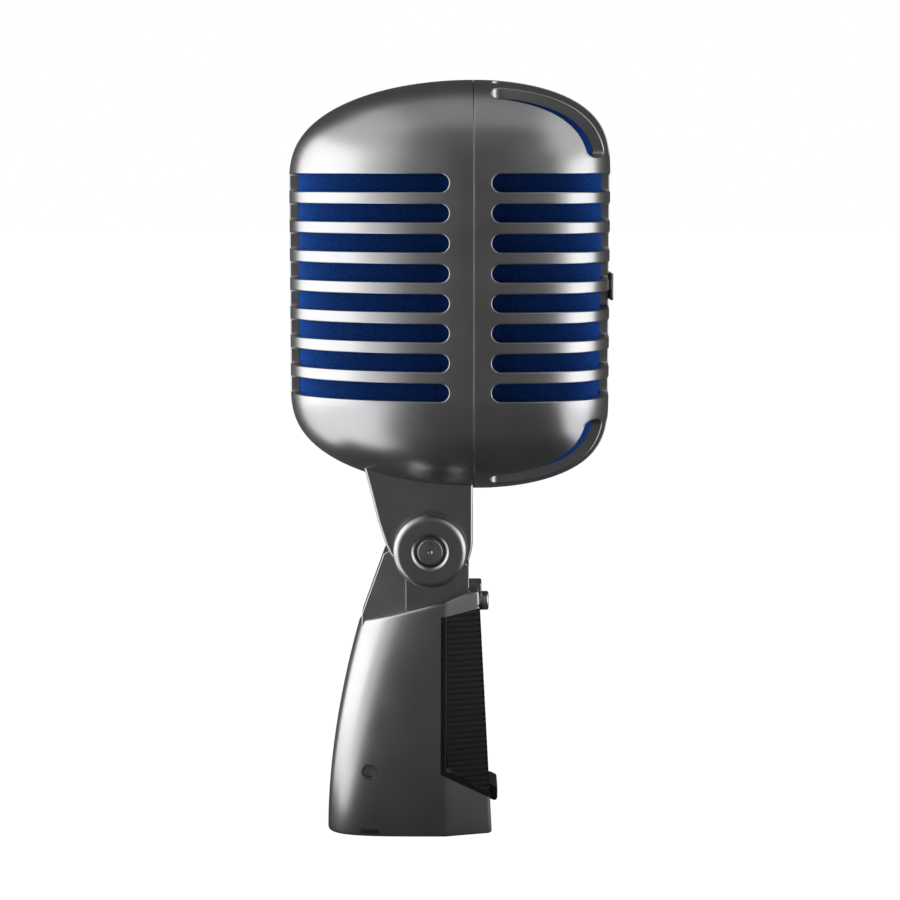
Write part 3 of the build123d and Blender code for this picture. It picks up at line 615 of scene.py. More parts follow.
def turn_at_x(half, distance, inset, gap):
    """The plan angle, on the +Y side, at a distance from the seam."""
    along = np.clip((distance - gap) / (half.reach - inset - gap), 0, 1)
    return np.arctan2((1 - along**half.plan_power) ** (1 / half.plan_power), along)


def turn_at_y(half, y, inset):
    """The plan angle at a distance from the middle plane."""
    across = np.clip(y / (head_half_width - inset), 0, 1)
    return np.arctan2(across, (1 - across**half.plan_power) ** (1 / half.plan_power))


# %% Where the fanned slots of the front shell meet its columns
fan_start = 4.3  # from the seam to the slots' round ends
fan_places = (14.0, 5.9)  # the outer and the inner slot's distance from the middle plane there
fan_slopes = np.tan(np.radians((9.0, 5.0)))
fan_line_starts = [place - fan_start * slope for place, slope in zip(fan_places, fan_slopes)]
ring_rise = 2.9  # from the foot of a dome to the ring where its own grid starts
ring_high = head_middle + straight_half + ring_rise


def slot_line_turns(half, inset, gap):
    """The plan angles where the fanned slots' middle lines meet the dome's ring; none on the rear half."""
    if half is rear_half:
        return []
    turns = np.linspace(0, np.pi / 2, turn_samples)
    ring = head_skin(half, turns, ring_high, inset, gap)
    sideways = [ring[:, 1] - (ring[:, 0] - seam_x) * slope for slope in fan_slopes]
    return [float(np.interp(start, off, turns)) for start, off in zip(fan_line_starts, sideways)]


# %% Columns and rows of a shell
tip_steps = 9
side_steps = {0: (46,), 2: (18, 10, 18)}
rim = 0.28  # radius of the rolled slot edge
rim_steps = 4
seam_round = 0.08  # radius of the seam's rounded edges
seam_support = 0.12


def smooth_steps(count):
    """Angles from 0 to a quarter turn, evenly spaced."""
    return np.linspace(0, np.pi / 2, count + 1)


def shell_columns(half, grow, inset, gap):
    """Plan angles of a shell's columns, and the slots' half height at each, from the seam round to the rib.

    A slot starts in a half circle of its own half height and ends at the rib in a squarer corner. Both
    grow with the slot, so the whole column moves with them.
    """
    radius = slot_half + grow
    centre = half.slot_start + slot_half
    tip = smooth_steps(tip_steps)
    tip_turn = turn_at_x(half, centre - radius * np.cos(tip), inset, gap)
    beside = turn_at_x(half, gap + seam_support, inset, gap)  # holds the seam's rounding to its width
    start = np.concatenate([[np.pi / 2], np.linspace(beside, tip_turn[0], 5)[:-1]])
    corner = smooth_steps(tip_steps)
    corner_y = rib_half + rib_round - (rib_round + grow) * np.sin(corner) ** 0.5
    corner_turn = turn_at_y(half, corner_y, inset)
    stops = [tip_turn[-1], *slot_line_turns(half, inset, gap), corner_turn[0]]
    runs = side_steps[len(stops) - 2]
    side = np.concatenate([np.linspace(high, low, run, endpoint=False)
                           for high, low, run in zip(stops[:-1], stops[1:], runs)])[1:]
    rib = np.linspace(corner_turn[-1], 0, 4)[1:]
    turns = np.concatenate([start, tip_turn, side, corner_turn, rib])
    heights = np.concatenate([np.zeros(len(start)), radius * np.sin(tip), np.full(len(side), radius),
                              radius * np.cos(corner) ** 0.5, np.zeros(len(rib))])
    heights[heights < 1e-4] = 0
    return turns, heights


def both_sides(turns, heights):
    """The columns of the +Y side carried on round to the -Y side."""
    return np.concatenate([turns, -turns[-2::-1]]), np.concatenate([heights, heights[-2::-1]])


bar_rows = np.array([0, 0.05, 0.28, 0.5, 0.72, 0.95, 1])
dome_rows = np.linspace(0, 1, 44)


def strip_borders():
    """Each strip's lower and upper border: the height it hangs on, and the slot's share added to it."""
    borders = [(2 * head_middle - ring_high, 0, row_heights[0], -1)]
    for lower, upper in zip(row_heights[:-1], row_heights[1:]):
        borders.append((lower, 1, upper, -1))
    borders.append((row_heights[-1], 1, ring_high, 0))
    return borders


def wall_strips(half, grow, inset, gap):
    """The grids of all strips of the upright wall, from the lowest to the highest."""
    turns, heights = both_sides(*shell_columns(half, grow, inset, gap))
    grids = []
    for low, low_way, high, high_way in strip_borders():
        bottom, top = low + low_way * heights, high + high_way * heights
        level = bottom + (top - bottom) * bar_rows[:, None]
        grids.append(head_skin(half, turns, level, inset, gap))
    return grids


def plain_dome(half, grow, inset, gap):
    """A dome's grid from its ring up to its pole; the rows bunch towards the pole as it levels off."""
    turns, _ = both_sides(*shell_columns(half, grow, inset, gap))
    top = head_middle + straight_half + dome_rise - inset
    level = ring_high + (top - ring_high) * np.sin(dome_rows * np.pi / 2)
    return head_skin(half, turns, level[:, None] + 0 * turns, inset, gap)


# %% Rolled edges
first_row, last_row, first_column, last_column = np.s_[0], np.s_[-1], np.s_[:, 0], np.s_[:, -1]


def rolled(build, half):
    """What build makes for each ring of a rolled edge: a quarter circle, then straight in to the inside.

    Each ring has its own grow and inset, and its own gap at the seam, whose rounding is smaller.
    """
    rings = [(rim * (1 - np.sin(a)), rim * (1 - np.cos(a))) for a in smooth_steps(rim_steps)] + [(0.0, wall)]
    return [build(half, grow, inset, seam_gap + grow * seam_round / rim) for grow, inset in rings]


def add_stack(skin, stack, flip, *borders):
    """Sews a stack of grids: its outer skin, its inner skin, and the borders that join the two.

    Each border is a part of the grids, whether its faces are turned over, and which of them exist.
    """
    skin.add(stack[0], flip)
    skin.add(stack[-1], not flip)
    for part, over, keep in borders:
        grid = np.stack([ring[part] for ring in stack])
        mask = None if keep is None else np.broadcast_to(keep, (len(stack) - 1, grid.shape[1] - 1))
        skin.add(grid, over, mask)


def mirrored(grid):
    """The same grid on the other dome, upside down."""
    other = grid.copy()
    other[..., 2] = 2 * head_middle - other[..., 2]
    return other


both_domes = ((lambda grid: grid, False), (mirrored, True))  # the upper, and the lower turned over


def start_shell(half):
    """A shell's wall strips with their slot rims and seam edges; returns the skin."""
    skin = Skin()
    flip = half.way > 0
    strips = list(zip(*rolled(wall_strips, half)))
    _, heights = both_sides(*shell_columns(half, rim, 0, seam_gap))
    slotted = (heights[:-1] > 0) | (heights[1:] > 0)
    for number, stack in enumerate(strips):
        rims = [(first_row, not flip, slotted)] * (number > 0)
        rims += [(last_row, flip, slotted)] * (number < len(strips) - 1)
        add_stack(skin, stack, flip, *rims, (first_column, flip, None), (last_column, not flip, None))
    return skin


# %% The rear shell
rear_skin = start_shell(rear_half)
dome_stack = rolled(plain_dome, rear_half)
for change, over in both_domes:
    add_stack(rear_skin, [change(grid) for grid in dome_stack], over,
              (first_column, over, None), (last_column, not over, None))
rear_shell = rear_skin.piece("rear_shell")
finish(rear_shell, "head", "dark_chrome", "rear_grille")

# %% [markdown]
# ## The front shell's fanned slots
#
# Over the front of each dome four slots run forward and slightly apart, which rows of constant height can't
# follow. So this dome is laid out like a hand fan: its columns are lines that are straight when seen from
# above, from points along the seam to points round the ring at its foot, and its rows are equal shares of
# each line's length. Two lines on each side are the slots' own middle lines. A strip between two of them
# draws back from each by the slot's half width, measured along its row, so the slots keep one width while
# they bend down over the front.

# %% The fan's lines
fan_halves = (2.7, 2.5)  # half widths of the outer and the inner slot at their start
fan_growth = (1.1, 0.6)  # what they gain towards the front
fan_sill = row_heights[-1] + slot_half + 4.0
line_samples, halvings = 600, 44


def height_on_dome(half, along, across, inset, gap):
    """The height of the dome's skin over a plan point, by halving the interval again and again.

    The share s up the dome is where the point's shares of the shrinking half width and reach, each raised
    to the plan's power, add up to one.
    """
    low, high = np.zeros(np.shape(along)), np.ones(np.shape(along))
    for _ in range(halvings):
        share = (low + high) / 2
        width = (head_half_width - inset) * np.sqrt(1 - share**2)
        reach = (half.reach - inset) * np.sqrt(1 - share**half.dome_power)
        total = np.maximum(np.abs(across) / width, 0) ** half.plan_power
        total = total + (np.maximum(along - gap, 0) / np.maximum(reach - gap, 1e-9)) ** half.plan_power
        inside = total < 1
        low, high = np.where(inside, share, low), np.where(inside, high, share)
    return head_middle + straight_half + (dome_rise - inset) * (low + high) / 2


def fan_lines(half, turns, inset, gap):
    """Points along the fan's lines, as lines by samples by 3, and each point's share of its line's length."""
    outer, inner = slot_line_turns(half, inset, gap)
    ring = head_skin(half, turns, ring_high, inset, gap)
    corner = head_skin(half, np.array([np.pi / 2]), ring_high, inset, gap)[0, 1]
    starts = np.interp(np.abs(turns), [0, inner, outer, np.pi / 2], [0, *fan_line_starts[::-1], corner])
    starts = starts * np.sign(turns)
    share = 1 - (1 - np.linspace(0, 1, line_samples)) ** 3
    seam_side = seam_x + half.way * gap
    x = seam_side + (ring[:, :1] - seam_side) * share
    y = starts[:, None] + (ring[:, 1:2] - starts[:, None]) * share
    z = height_on_dome(half, np.abs(x - seam_x), y, inset, gap)
    z[:, -1] = ring_high
    points = np.stack([x, y, z], axis=-1)
    steps = np.linalg.norm(np.diff(points, axis=1), axis=-1)
    length = np.concatenate([np.zeros((len(turns), 1)), np.cumsum(steps, axis=1)], axis=1)
    return points, length / np.maximum(length[:, -1:], 1e-9), length[:, -1]


# %% The fan's rows
end_power = 0.8  # squareness of a fan slot's ends, where 1 is a half circle
fan_foot = 2.0  # length of the rounding at a slot's foot
fan_tip_steps = 14
straight_rows = 40


def fan_rows(slot, points, share, total, grow):
    """Shares of the length for one slot line's rows, and the slot's half width at each row."""
    half_width, growth = fan_halves[slot] + grow, fan_growth[slot]
    first = np.interp(seam_x + fan_start, points[:, 0], share) + fan_halves[slot] / total
    last = np.interp(-fan_sill, -points[:, 2], share) - fan_foot / total
    angle = smooth_steps(fan_tip_steps)
    tip = first - half_width / total * np.cos(angle)
    foot = last + (fan_foot + grow) / total * np.sin(angle)
    middle = np.linspace(first, last, straight_rows)
    width = half_width + growth * (middle - first) / (last - first)
    rows = np.concatenate([np.linspace(0, tip[0], 6)[:-1], tip, middle[1:-1],
                           foot, np.linspace(foot[-1], 1, 6)[1:]])
    widths = np.concatenate([np.zeros(5), half_width * np.sin(angle) ** end_power, width[1:-1],
                             width[-1] * np.abs(np.cos(angle)) ** end_power, np.zeros(5)])
    widths[widths < 1e-4] = 0
    return rows, widths


def fan_dome(half, grow, inset, gap):
    """The strips of a fanned dome, from the +Y side to the -Y side, and each slot's half widths by row."""
    columns, _ = both_sides(*shell_columns(half, grow, inset, gap))
    centres = slot_line_turns(half, inset, gap)
    dense = np.unique(np.concatenate([np.linspace(0, np.pi / 2, 301), columns[columns > 0]]))
    dense = np.concatenate([dense[::-1], -dense[1:]])
    points, share, total = fan_lines(half, dense, inset, gap)
    made = []
    for slot, centre in enumerate(centres):
        line = int(np.argmin(np.abs(dense - centre)))
        made.append(fan_rows(slot, points[line], share[line], total[line], grow))
    # the rows of the outer slot, blended to the inner slot's between the two
    blend = np.interp(np.abs(dense), centres[::-1], [1.0, 0.0])[:, None]
    rows = made[0][0] * (1 - blend) + made[1][0] * blend
    placed = np.stack([np.stack([np.interp(rows[line], share[line], points[line, :, axis])
                                 for axis in range(3)], axis=-1) for line in range(len(dense))])
    placed = placed.transpose(1, 0, 2)  # rows by lines by 3
    step = np.linalg.norm(np.diff(placed, axis=1), axis=-1)
    along_row = np.concatenate([np.zeros((len(placed), 1)), np.cumsum(step, axis=1)], axis=1)
    # strips between neighbouring slots, from the +Y side to the -Y side
    marks = [np.pi / 2, *centres, *(-centre for centre in centres[::-1]), -np.pi / 2]
    ends = [int(np.argmin(np.abs(columns - mark))) for mark in marks]
    zero = np.zeros(len(placed))
    half_widths = [slot_widths for _, slot_widths in made]
    widths = [zero, *half_widths, *half_widths[::-1], zero]
    strips = []
    for number in range(len(marks) - 1):
        strip = columns[ends[number]:ends[number + 1] + 1]
        grid = np.empty((len(placed), len(strip), 3))
        for row in range(len(placed)):
            place = np.interp(-strip, -dense, along_row[row])
            span = max(place[-1] - place[0], 1e-9)
            part = (place - place[0]) / span
            place = place + (1 - part) * widths[number][row] - part * widths[number + 1][row]
            for axis in range(3):
                grid[row, :, axis] = np.interp(place, along_row[row], placed[row, :, axis])
        grid[-1] = head_skin(half, strip, ring_high, inset, gap)
        strips.append(grid)
    return strips, widths


# %% The front shell
front_skin = start_shell(front_half)
fan_sets = rolled(fan_dome, front_half)
outer_widths = fan_sets[0][1]
for change, over in both_domes:
    for number in range(len(outer_widths) - 1):
        stack = [change(strips[number][::-1]) for strips, _ in fan_sets]
        slotted = [((widths[:-1] > 0) | (widths[1:] > 0))[::-1] for widths in outer_widths[number:number + 2]]
        add_stack(front_skin, stack, not over, (first_column, not over, slotted[0]),
                  (last_column, over, slotted[1]), (last_row, not over, None))
front_shell = front_skin.piece("front_shell")
finish(front_shell, "head", "dark_chrome", "front_grille")

# %% [markdown]
# ## Turned pieces at the pivot
#
# The two swivel discs and the hubs in them come off a lathe, so each is a closed profile turned round the
# pivot's axis. The disc's rim is a quarter round that mirrors the lights as two bright arcs. Its face falls
# away by a small bevel to a recess, where the hub sits. The hub's face keeps the fine rings that the
# turning tool left: real rings, a few hundredths of a millimetre deep, that spread the light into a fan. A
# texture of rings would need the pivot's place in each material, so the rings are in the mesh.

# %% A lathe for closed profiles
pivot_x, pivot_height = -3.65, 72.8
pivot_axis = (pivot_x, pivot_height)
bolt_bore, nut_bore = 2.25, 2.9  # radii of the holes for the bolt and for the nut's sleeve
turn_steps = 120


def turned(name, profile, side):
    """A closed profile of (radius, distance from the middle plane) turned about the pivot's axis.

    side is 1 for the +Y side and -1 for the -Y side. The first and last points of a profile that starts
    and ends at radius 0 meet the axis, so it closes by itself.
    """
    profile = np.array(profile)
    around = np.linspace(0, 2 * np.pi, turn_steps + 1)
    around[-1] = 0
    radius, along = profile[:, 0, None], profile[:, 1, None]
    return closed(name, np.stack([pivot_x + radius * np.cos(around), side * along + 0 * around,
                                  pivot_height + radius * np.sin(around)], axis=-1))


def arc(centre, radius, start, end, count=8):
    """Points of an arc in the profile plane; the angles are in degrees from the radius direction."""
    angle = np.radians(np.linspace(start, end, count + 1))
    return [(centre[0] + radius * np.cos(a), centre[1] + radius * np.sin(a)) for a in angle]


# %% The discs
disc_low, disc_high = box("right_disc")
disc_in, disc_out = disc_low[1], disc_high[1]
disc_radius = (disc_high[0] - disc_low[0]) / 2 + 0.3
disc_round, recess_radius, recess_depth, recess_bevel = 1.8, 3.65, 1.6, 0.9


def disc_profile(bore):
    """The disc's closed section: bore, recess, bevel, face, rounded rim and back."""
    floor = disc_out - recess_depth
    bevel_radius, bevel_foot = recess_radius + recess_bevel, disc_out - recess_bevel
    rim_centre = (disc_radius - disc_round, disc_out - disc_round)
    return [(bore, floor), (recess_radius - 0.15, floor), (recess_radius, floor + 0.15),
            (recess_radius, bevel_foot - 0.1), (recess_radius + 0.1, bevel_foot),
            (bevel_radius - 0.1, disc_out - 0.1), (bevel_radius + 0.1, disc_out),
            (bevel_radius + 0.3, disc_out), *arc(rim_centre, disc_round, 90, 0, 12),
            *arc((disc_radius - 0.3, disc_in + 0.3), 0.3, 0, -90, 3), (bore, disc_in), (bore, floor)]


for name, side, bore in (("left", -1, bolt_bore), ("right", 1, nut_bore)):
    disc = turned(f"{name}_swivel_disc", disc_profile(bore), side)
    finish(disc, "head", "dark_chrome", f"{name}_disc")

# %% The pivot bolt's hub and the nut's
bolt_low, bolt_high = box("pivot_bolt")
nut_low, nut_high = box("pivot_nut")
hub_radius, hub_round = 3.15, 0.35
ring_pitch, ring_depth = 0.36, 0.035


def hub_face(top):
    """The hub's rounded edge and ringed face, from the edge in to the middle dimple."""
    rings = np.arange(hub_radius - hub_round - 0.1, 0.75, -ring_pitch / 6)
    wave = top - ring_depth * (0.5 - 0.5 * np.cos(2 * np.pi * rings / ring_pitch)) ** 0.7
    face = list(zip(rings, wave))
    dimple = [(0.62, top - 0.02), (0.35, top - 0.22), (0.0, top - 0.3)]
    return arc((hub_radius - hub_round, top - hub_round), hub_round, 0, 90, 5) + face + dimple


hub_back = disc_out - recess_depth + 0.05
bolt_end, nut_end, nut_top = -bolt_high[1], nut_low[1], nut_high[1]
shank_radius, sleeve_radius = 2.2, 2.85
bolt_profile = [(0, bolt_end), (2.0, bolt_end), (shank_radius, bolt_end + 0.2), (shank_radius, hub_back),
                (hub_radius, hub_back), *hub_face(-bolt_low[1])]
nut_profile = [(bolt_bore, nut_end), (2.7, nut_end), (sleeve_radius, nut_end + 0.15),
               (sleeve_radius, hub_back), (hub_radius, hub_back), *hub_face(nut_top)[:-3],
               (0.7, nut_top - 0.05), (0, nut_top - 0.05), (0, nut_top - 0.8), (bolt_bore, nut_top - 0.8),
               (bolt_bore, nut_end)]
for name, profile, side in (("pivot_bolt", bolt_profile, -1), ("pivot_nut", nut_profile, 1)):
    finish(turned(f"{name}_turned", profile, side), "head", "dark_chrome", name)

# %% [markdown]
# ## The fork
#
# The fork is one casting: a bridge that seats against the underside of the head, and two cheeks beside the
# base's neck. Its outline narrows to a round foot just larger than the disc, which shows as a dark line
# under it. The long edges are rounded before the head's form is taken out of its top, so that the joint
# with the head stays tight while the free edges catch the light as thin bright lines.

# %% The fork
cheek_out, cheek_in = 10.4, 7.2
bridge_low = pivot_height + 12.3
foot_radius, foot_x = 9.25, 0.2
foot_arc = np.radians(np.linspace(203, 336, 40))
fork_side = np.array([(-16.9, 22.5), (-16.4, 20.4), (-15.6, 17.4), (-14.6, 13.6), (-12.9, 6.6), (-11.0, 0.8),
                      (-10.0, -1.4)]
                     + [(foot_x + foot_radius * np.cos(a), foot_radius * np.sin(a)) for a in foot_arc]
                     + [(9.6, -3.2), (10.3, -0.6), (10.55, 1.2), (10.55, 22.5)])
fork_side = fork_side + np.array([pivot_x, pivot_height])


def fan_in(row, centre):
    """The grid of faces from a row of points in to one point, which closes an open end."""
    return np.stack([row, 0 * row + centre])


def head_plug(inset):
    """The closed lower half of the head's form, drawn in by inset."""
    turns = np.linspace(-np.pi / 2, np.pi / 2, 121)
    share = np.sin(np.linspace(0, 1, 61) * np.pi / 2)
    heights = head_middle - straight_half - (dome_rise - inset) * share[:, None] + 0 * turns
    grids = []
    for half in (rear_half, front_half):
        grid = head_skin(half, turns, heights, inset, 0.0)
        grids += [grid, fan_in(grid[0], np.array([seam_x, 0.0, head_middle - straight_half]))]
    return closed("head_plug", *grids)


stem_x, stem_radius, stem_top, stem_bore = -9.5, 6.5, 94.2, 2.2
fork = prism("fork_casting", fork_side, -cheek_out, cheek_out)
fork_channel = prism("fork_channel", rectangle((-60, bridge_low), (60, 30)), -cheek_in, cheek_in)
carve(fork, ("round", 0.7), fork_channel)
carve(fork, head_plug(-0.05), plug("bolt_bore", pivot_axis, bolt_bore, -20, 0),
      plug("nut_bore", pivot_axis, nut_bore, 0, 20))
stem = plug("fork_stem", (stem_x, 0), stem_radius, bridge_low - 0.01, stem_top, axis=2)
carve(fork, ("UNION", stem), plug("stem_bore", (stem_x, 0), stem_bore, 60, 120, axis=2))
finish(fork, "head", "dark_chrome", "fork")

# %% [markdown]
# ## The base casting
#
# The base is one casting that tapers upwards: a rounded back, two flat facets that fold in to a narrow
# nose, a shoulder that slopes down to the back, and the neck that the fork straddles. Its wall is one grid
# of columns round the outline and rows up it, with the roundings of the bottom edge and of the shoulder in
# the same grid, so they stay even all the way round. The plan is a superellipse behind: nearly a rounded
# box at the bottom and nearly an ellipse at the shoulder. Only the holes and the panel's recess are carved.

# %% The outline of the base at any height
base_height = 66.0
bottom_round, shoulder_round = 0.6, 0.8
socket_x, socket_radius, socket_depth = -18.9, 8.1, 18.85
thread_radius, thread_depth = 8.98, 14.05
nose_cut, nose_drop = 0.07, 0.9  # where the nose's rounding starts on the facet and ends on the front
bottom_sizes = (29.75, 13.0, 11.8, 9.5)  # back, half width, front, and the nose's half width
losses = (12.15, 2.6, 3.5, 1.5)  # what each of them loses up to the base's height
settling = 12  # rounds of repeated substitution, after which a height has settled far below a micrometre


def base_sizes(height, inset):
    """Back, half width, front, nose half width and the back's power, level with a height.

    The front and the nose taper evenly. The back and the sides bend in as the height's power, late.
    """
    share = height / base_height
    late = share**1.85
    back, half, front, nose = (size - loss * part for size, loss, part
                               in zip(bottom_sizes, losses, (late, late, share, share)))
    return back - inset, half - inset, front - inset, nose - 0.6 * inset, 2 + 2.1 * (1 - share**1.2)


def split_turn():
    """The back's turn where the bottom edge crosses the line between the thread and the socket."""
    back, _, _, _, power = base_sizes(0.0, bottom_round)
    turns = np.linspace(np.pi, np.pi / 2, turn_samples)
    along, _ = unit_turn(power, turns)
    return float(np.interp(split_x, back * along, turns))


split_x = (socket_x + socket_radius - thread_radius) / 2
first_turn = split_turn()
last_turn, facet_start = 1.578, 0.012  # the columns on either side of the line where the facet starts
back_turns = np.concatenate([np.linspace(np.pi, first_turn, 54)[:-1], np.linspace(first_turn, last_turn, 16)])
facet = np.linspace(facet_start, 1 - nose_cut, 10)
corner = np.linspace(0, 1, 7)[1:]
face = np.linspace(0, 1, 5)[1:]
# per column: the back's turn, the share of the way along the facet, the drop and the factor across
column_turn = np.concatenate([back_turns, np.full(len(facet) + len(corner) + len(face), np.pi / 2)])
column_front = np.concatenate([0 * back_turns, facet, 1 - nose_cut * (1 - corner) ** 2, 1 + 0 * face])
column_drop = np.concatenate([0 * back_turns, 0 * facet, nose_drop * corner**2, nose_drop + 0 * face])
column_factor = np.concatenate([1 + 0 * back_turns, 1 + 0 * facet, 1 + 0 * corner, 1 - face])
column_side = np.concatenate([np.ones(len(column_turn)), -np.ones(len(column_turn) - 1)])
column_turn, column_front, column_drop, column_factor = (
    np.concatenate([values, values[-2::-1]])
    for values in (column_turn, column_front, column_drop, column_factor))
is_back = column_front == 0


def base_points(height, inset=0.0):
    """Points of the base's skin; height is one row or many rows of a height for each column."""
    height = height + 0 * column_turn
    back, half, front, nose, power = base_sizes(height, inset)
    along, across = unit_turn(power, column_turn)
    x = np.where(is_back, back * along, front * column_front)
    side = (half + (nose - half) * column_front - column_drop) * column_factor
    y = np.where(is_back, half * across, side) * column_side
    return np.stack([x, y, height], axis=-1)


def on_plane(first, second, x):
    """The height, at x, of the line through two (x, z) points."""
    return first[1] + (x - first[0]) * (second[1] - first[1]) / (second[0] - first[0])


shoulder_back, shoulder_front = (-20.9, 53.7), (6.0, 61.1)


def shoulder_height():
    """For each column, the height where the wall meets the shoulder's plane, by repeated substitution."""
    height = np.full(len(column_turn), shoulder_back[1])
    for _ in range(settling):
        height = on_plane(shoulder_back, shoulder_front, base_points(height)[:, 0])
    return height


# %% Wall, shoulder, bottom and bores as grids
bore_chamfer = 0.3
spine_x = -6.0  # of the points where the shoulder's and the cavity's faces meet


def radial_floor(loop, x, radius, depth):
    """The bottom face from a closed loop of points in to a round bore at x, and the bore to its ceiling."""
    centre = np.array([x, 0.0])
    away = loop[:, :2] - centre
    away = away / np.linalg.norm(away, axis=1, keepdims=True)
    steps = ((radius + bore_chamfer, 0.0), (radius, bore_chamfer), (radius, depth), (0.0, depth))
    return np.stack([loop, *(np.column_stack([centre + r * away, np.full(len(loop), z)]) for r, z in steps)])


top = shoulder_height()
shares = np.linspace(0, 1, 64)[:, None]
low_turn = smooth_steps(5)
rows = [base_points(bottom_round * (1 - np.cos(a)), bottom_round * (1 - np.sin(a)))[None] for a in low_turn]
rows.append(base_points(bottom_round + shares * (top - shoulder_round - bottom_round))[1:])
rows += [base_points(top - shoulder_round * (1 - np.sin(a)), shoulder_round * (1 - np.cos(a)))[None]
         for a in smooth_steps(6)[1:]]
rim_line = rows[-1][0]
middle = np.array([spine_x, 0.0, on_plane(shoulder_back, shoulder_front, spine_x)])
rows.append(middle + (1 - np.linspace(0, 1, 7)[1:, None, None]) * (rim_line - middle))
wall_grid = np.concatenate(rows)
bottom = wall_grid[0][:-1]
behind = bottom[:, 0] <= split_x + 1e-6
order = np.arange(len(bottom))
first_behind = order[behind & (order < len(order) / 2)][-1]
last_behind = order[behind & (order > len(order) / 2)][0]
divide = np.linspace(bottom[first_behind], bottom[last_behind], 40)
back_loop = np.concatenate([bottom[last_behind:], bottom[:first_behind + 1], divide[1:]])
front_loop = np.concatenate([bottom[first_behind:last_behind + 1], divide[-2::-1]])
casting = closed("base_casting", wall_grid, radial_floor(back_loop, socket_x, socket_radius, socket_depth),
                 radial_floor(front_loop, 0.0, thread_radius, thread_depth))
report(casting)


# %% The panel's recess, the cavity, and the small holes
panel_low = ((-1.1, 16.0), (11.8, 8.8))
panel_top = ((-1.0, 55.4), (8.3, 57.3))
panel_back = ((16.0, -1.1), (55.4, -1.0))
panel_foot, frame_top = 16.0, 55.6
recess_inset = 1.5


def panel_rows(inset, count):
    """Rows of the front's corners from the panel's lower line to its upper one, drawn in by inset.

    The outline's lines are heights that depend on x, and x on the height, so both are worked out in turns.
    """
    share = np.linspace(0, 1, count)[:, None]
    height = panel_foot + (frame_top - panel_foot) * share + np.zeros(6)
    for _ in range(settling):
        _, half, front, nose, _ = base_sizes(height, inset)
        rear = on_plane(*panel_back, height[:, 0])
        x = np.stack([rear, 0 * rear, front[:, 2], front[:, 3], 0 * rear, rear], axis=1)
        low, high = on_plane(*panel_low, x), on_plane(*panel_top, x)
        height = low + (high - low) * share
    y = np.stack([half[:, 0], half[:, 1], nose[:, 2], -nose[:, 3], -half[:, 4], -half[:, 5]], axis=1)
    return np.stack([x, y, height], axis=-1)


def panel_block(name, inner, outer):
    """The closed form between two insets over the panel's outline."""
    inside, outside = panel_rows(inner, 24), panel_rows(outer, 24)
    sides = [np.stack([inside[part], outside[part]])
             for part in (np.s_[0], np.s_[-1], np.s_[:, 0], np.s_[:, -1])]
    return closed(name, inside, outside, *sides)


cavity_low, cavity_high, cavity_inset = 18.8, 46.0, 3.0
cavity = base_points(np.linspace(cavity_low, cavity_high, 12)[:, None], cavity_inset)
cavity_ends = [fan_in(row, np.array([spine_x, 0.0, level]))
               for level, row in ((cavity_low, cavity[0]), (cavity_high, cavity[-1]))]
panel_screw_axis, set_screw_axis = (0, 57.8), (socket_x, 16.4)
dimple_radius, dimple_floor, notch_floor = 2.0, 11.2, 9.6
channel_axis, channel_radius = (-11.6, 0), 2.2  # the lead's way up through the neck
notch_half = [(2.2, 0.75), (2.5, 1.2), (2.3, 2.1)]  # half widths and heights of the rim's notch
notch = [(socket_x + x, z) for x, z in notch_half] + [(socket_x - x, z) for x, z in notch_half[::-1]]
carve(casting, panel_block("recess", recess_inset, -1.2), closed("cavity", *cavity_ends, cavity),
      plug("dimple", set_screw_axis, dimple_radius, -20, -dimple_floor),
      plug("set_screw_hole", set_screw_axis, 1.45, -20, -7),
      prism("notch", notch, -20, -notch_floor),
      plug("lead_channel", channel_axis, channel_radius, 43, 90, axis=2),
      plug("panel_screw_hole", panel_screw_axis, 1.35, 2.3, 20, axis=0))

# %% The neck and the boss over the panel's screw
neck_low, neck_back_x, neck_front_x = 52.0, -20.9, 6.0
tongue_radius, tongue_drop = 8.0, 5.0  # the drop from the pivot to where the round tongue ends in front
meet = np.arctan2(-tongue_drop, neck_front_x - pivot_x)
round_top = np.linspace(np.pi, meet, 60)
neck_outline = np.array([(neck_back_x, neck_low), (neck_back_x, 55.2), (-15.3, 70.7)]
                        + [(pivot_x + tongue_radius * np.cos(a), pivot_height + tongue_radius * np.sin(a))
                           for a in round_top]
                        + [(neck_front_x, pivot_height - tongue_drop), (neck_front_x, neck_low)])
neck_side = [(neck_back_x, 5.1), (-9.85, 6.4), (-9.72, 6.5), (2.87, 6.5), (3.0, 6.4),
             (neck_front_x, 5.98)]
neck_plan = neck_side + [(x, -y) for x, y in neck_side[::-1]]
neck = prism("base_neck", neck_outline, -7.5, 7.5)
carve(neck, ("INTERSECT", prism("neck_plan", neck_plan, neck_low - 1, 90, axis=2)), ("round", 0.25),
      plug("pivot_bore", pivot_axis, nut_bore, -20, 20),
      plug("neck_channel", channel_axis, channel_radius, 40, 90, axis=2))
boss = prism("base_boss", [(5.5, 60.0), (9.2, 60.3), (9.2, 62.9), (5.5, 62.9)], -3.5, 3.5)
carve(boss, ("round", 0.4))


joined_sharp_angle = np.radians(32)


def joined(name, *pieces):
    """One object with the meshes of several pieces, which are used up."""
    mesh = bpy.data.meshes.new(name)
    with opened(mesh) as form:
        for piece in pieces:
            form.from_mesh(piece.data)
            bpy.data.objects.remove(piece)
    shade(mesh, joined_sharp_angle)
    return add_object(name, mesh)


finish(joined("base_and_neck", casting, neck, boss), "base", "dark_chrome", "base_body")

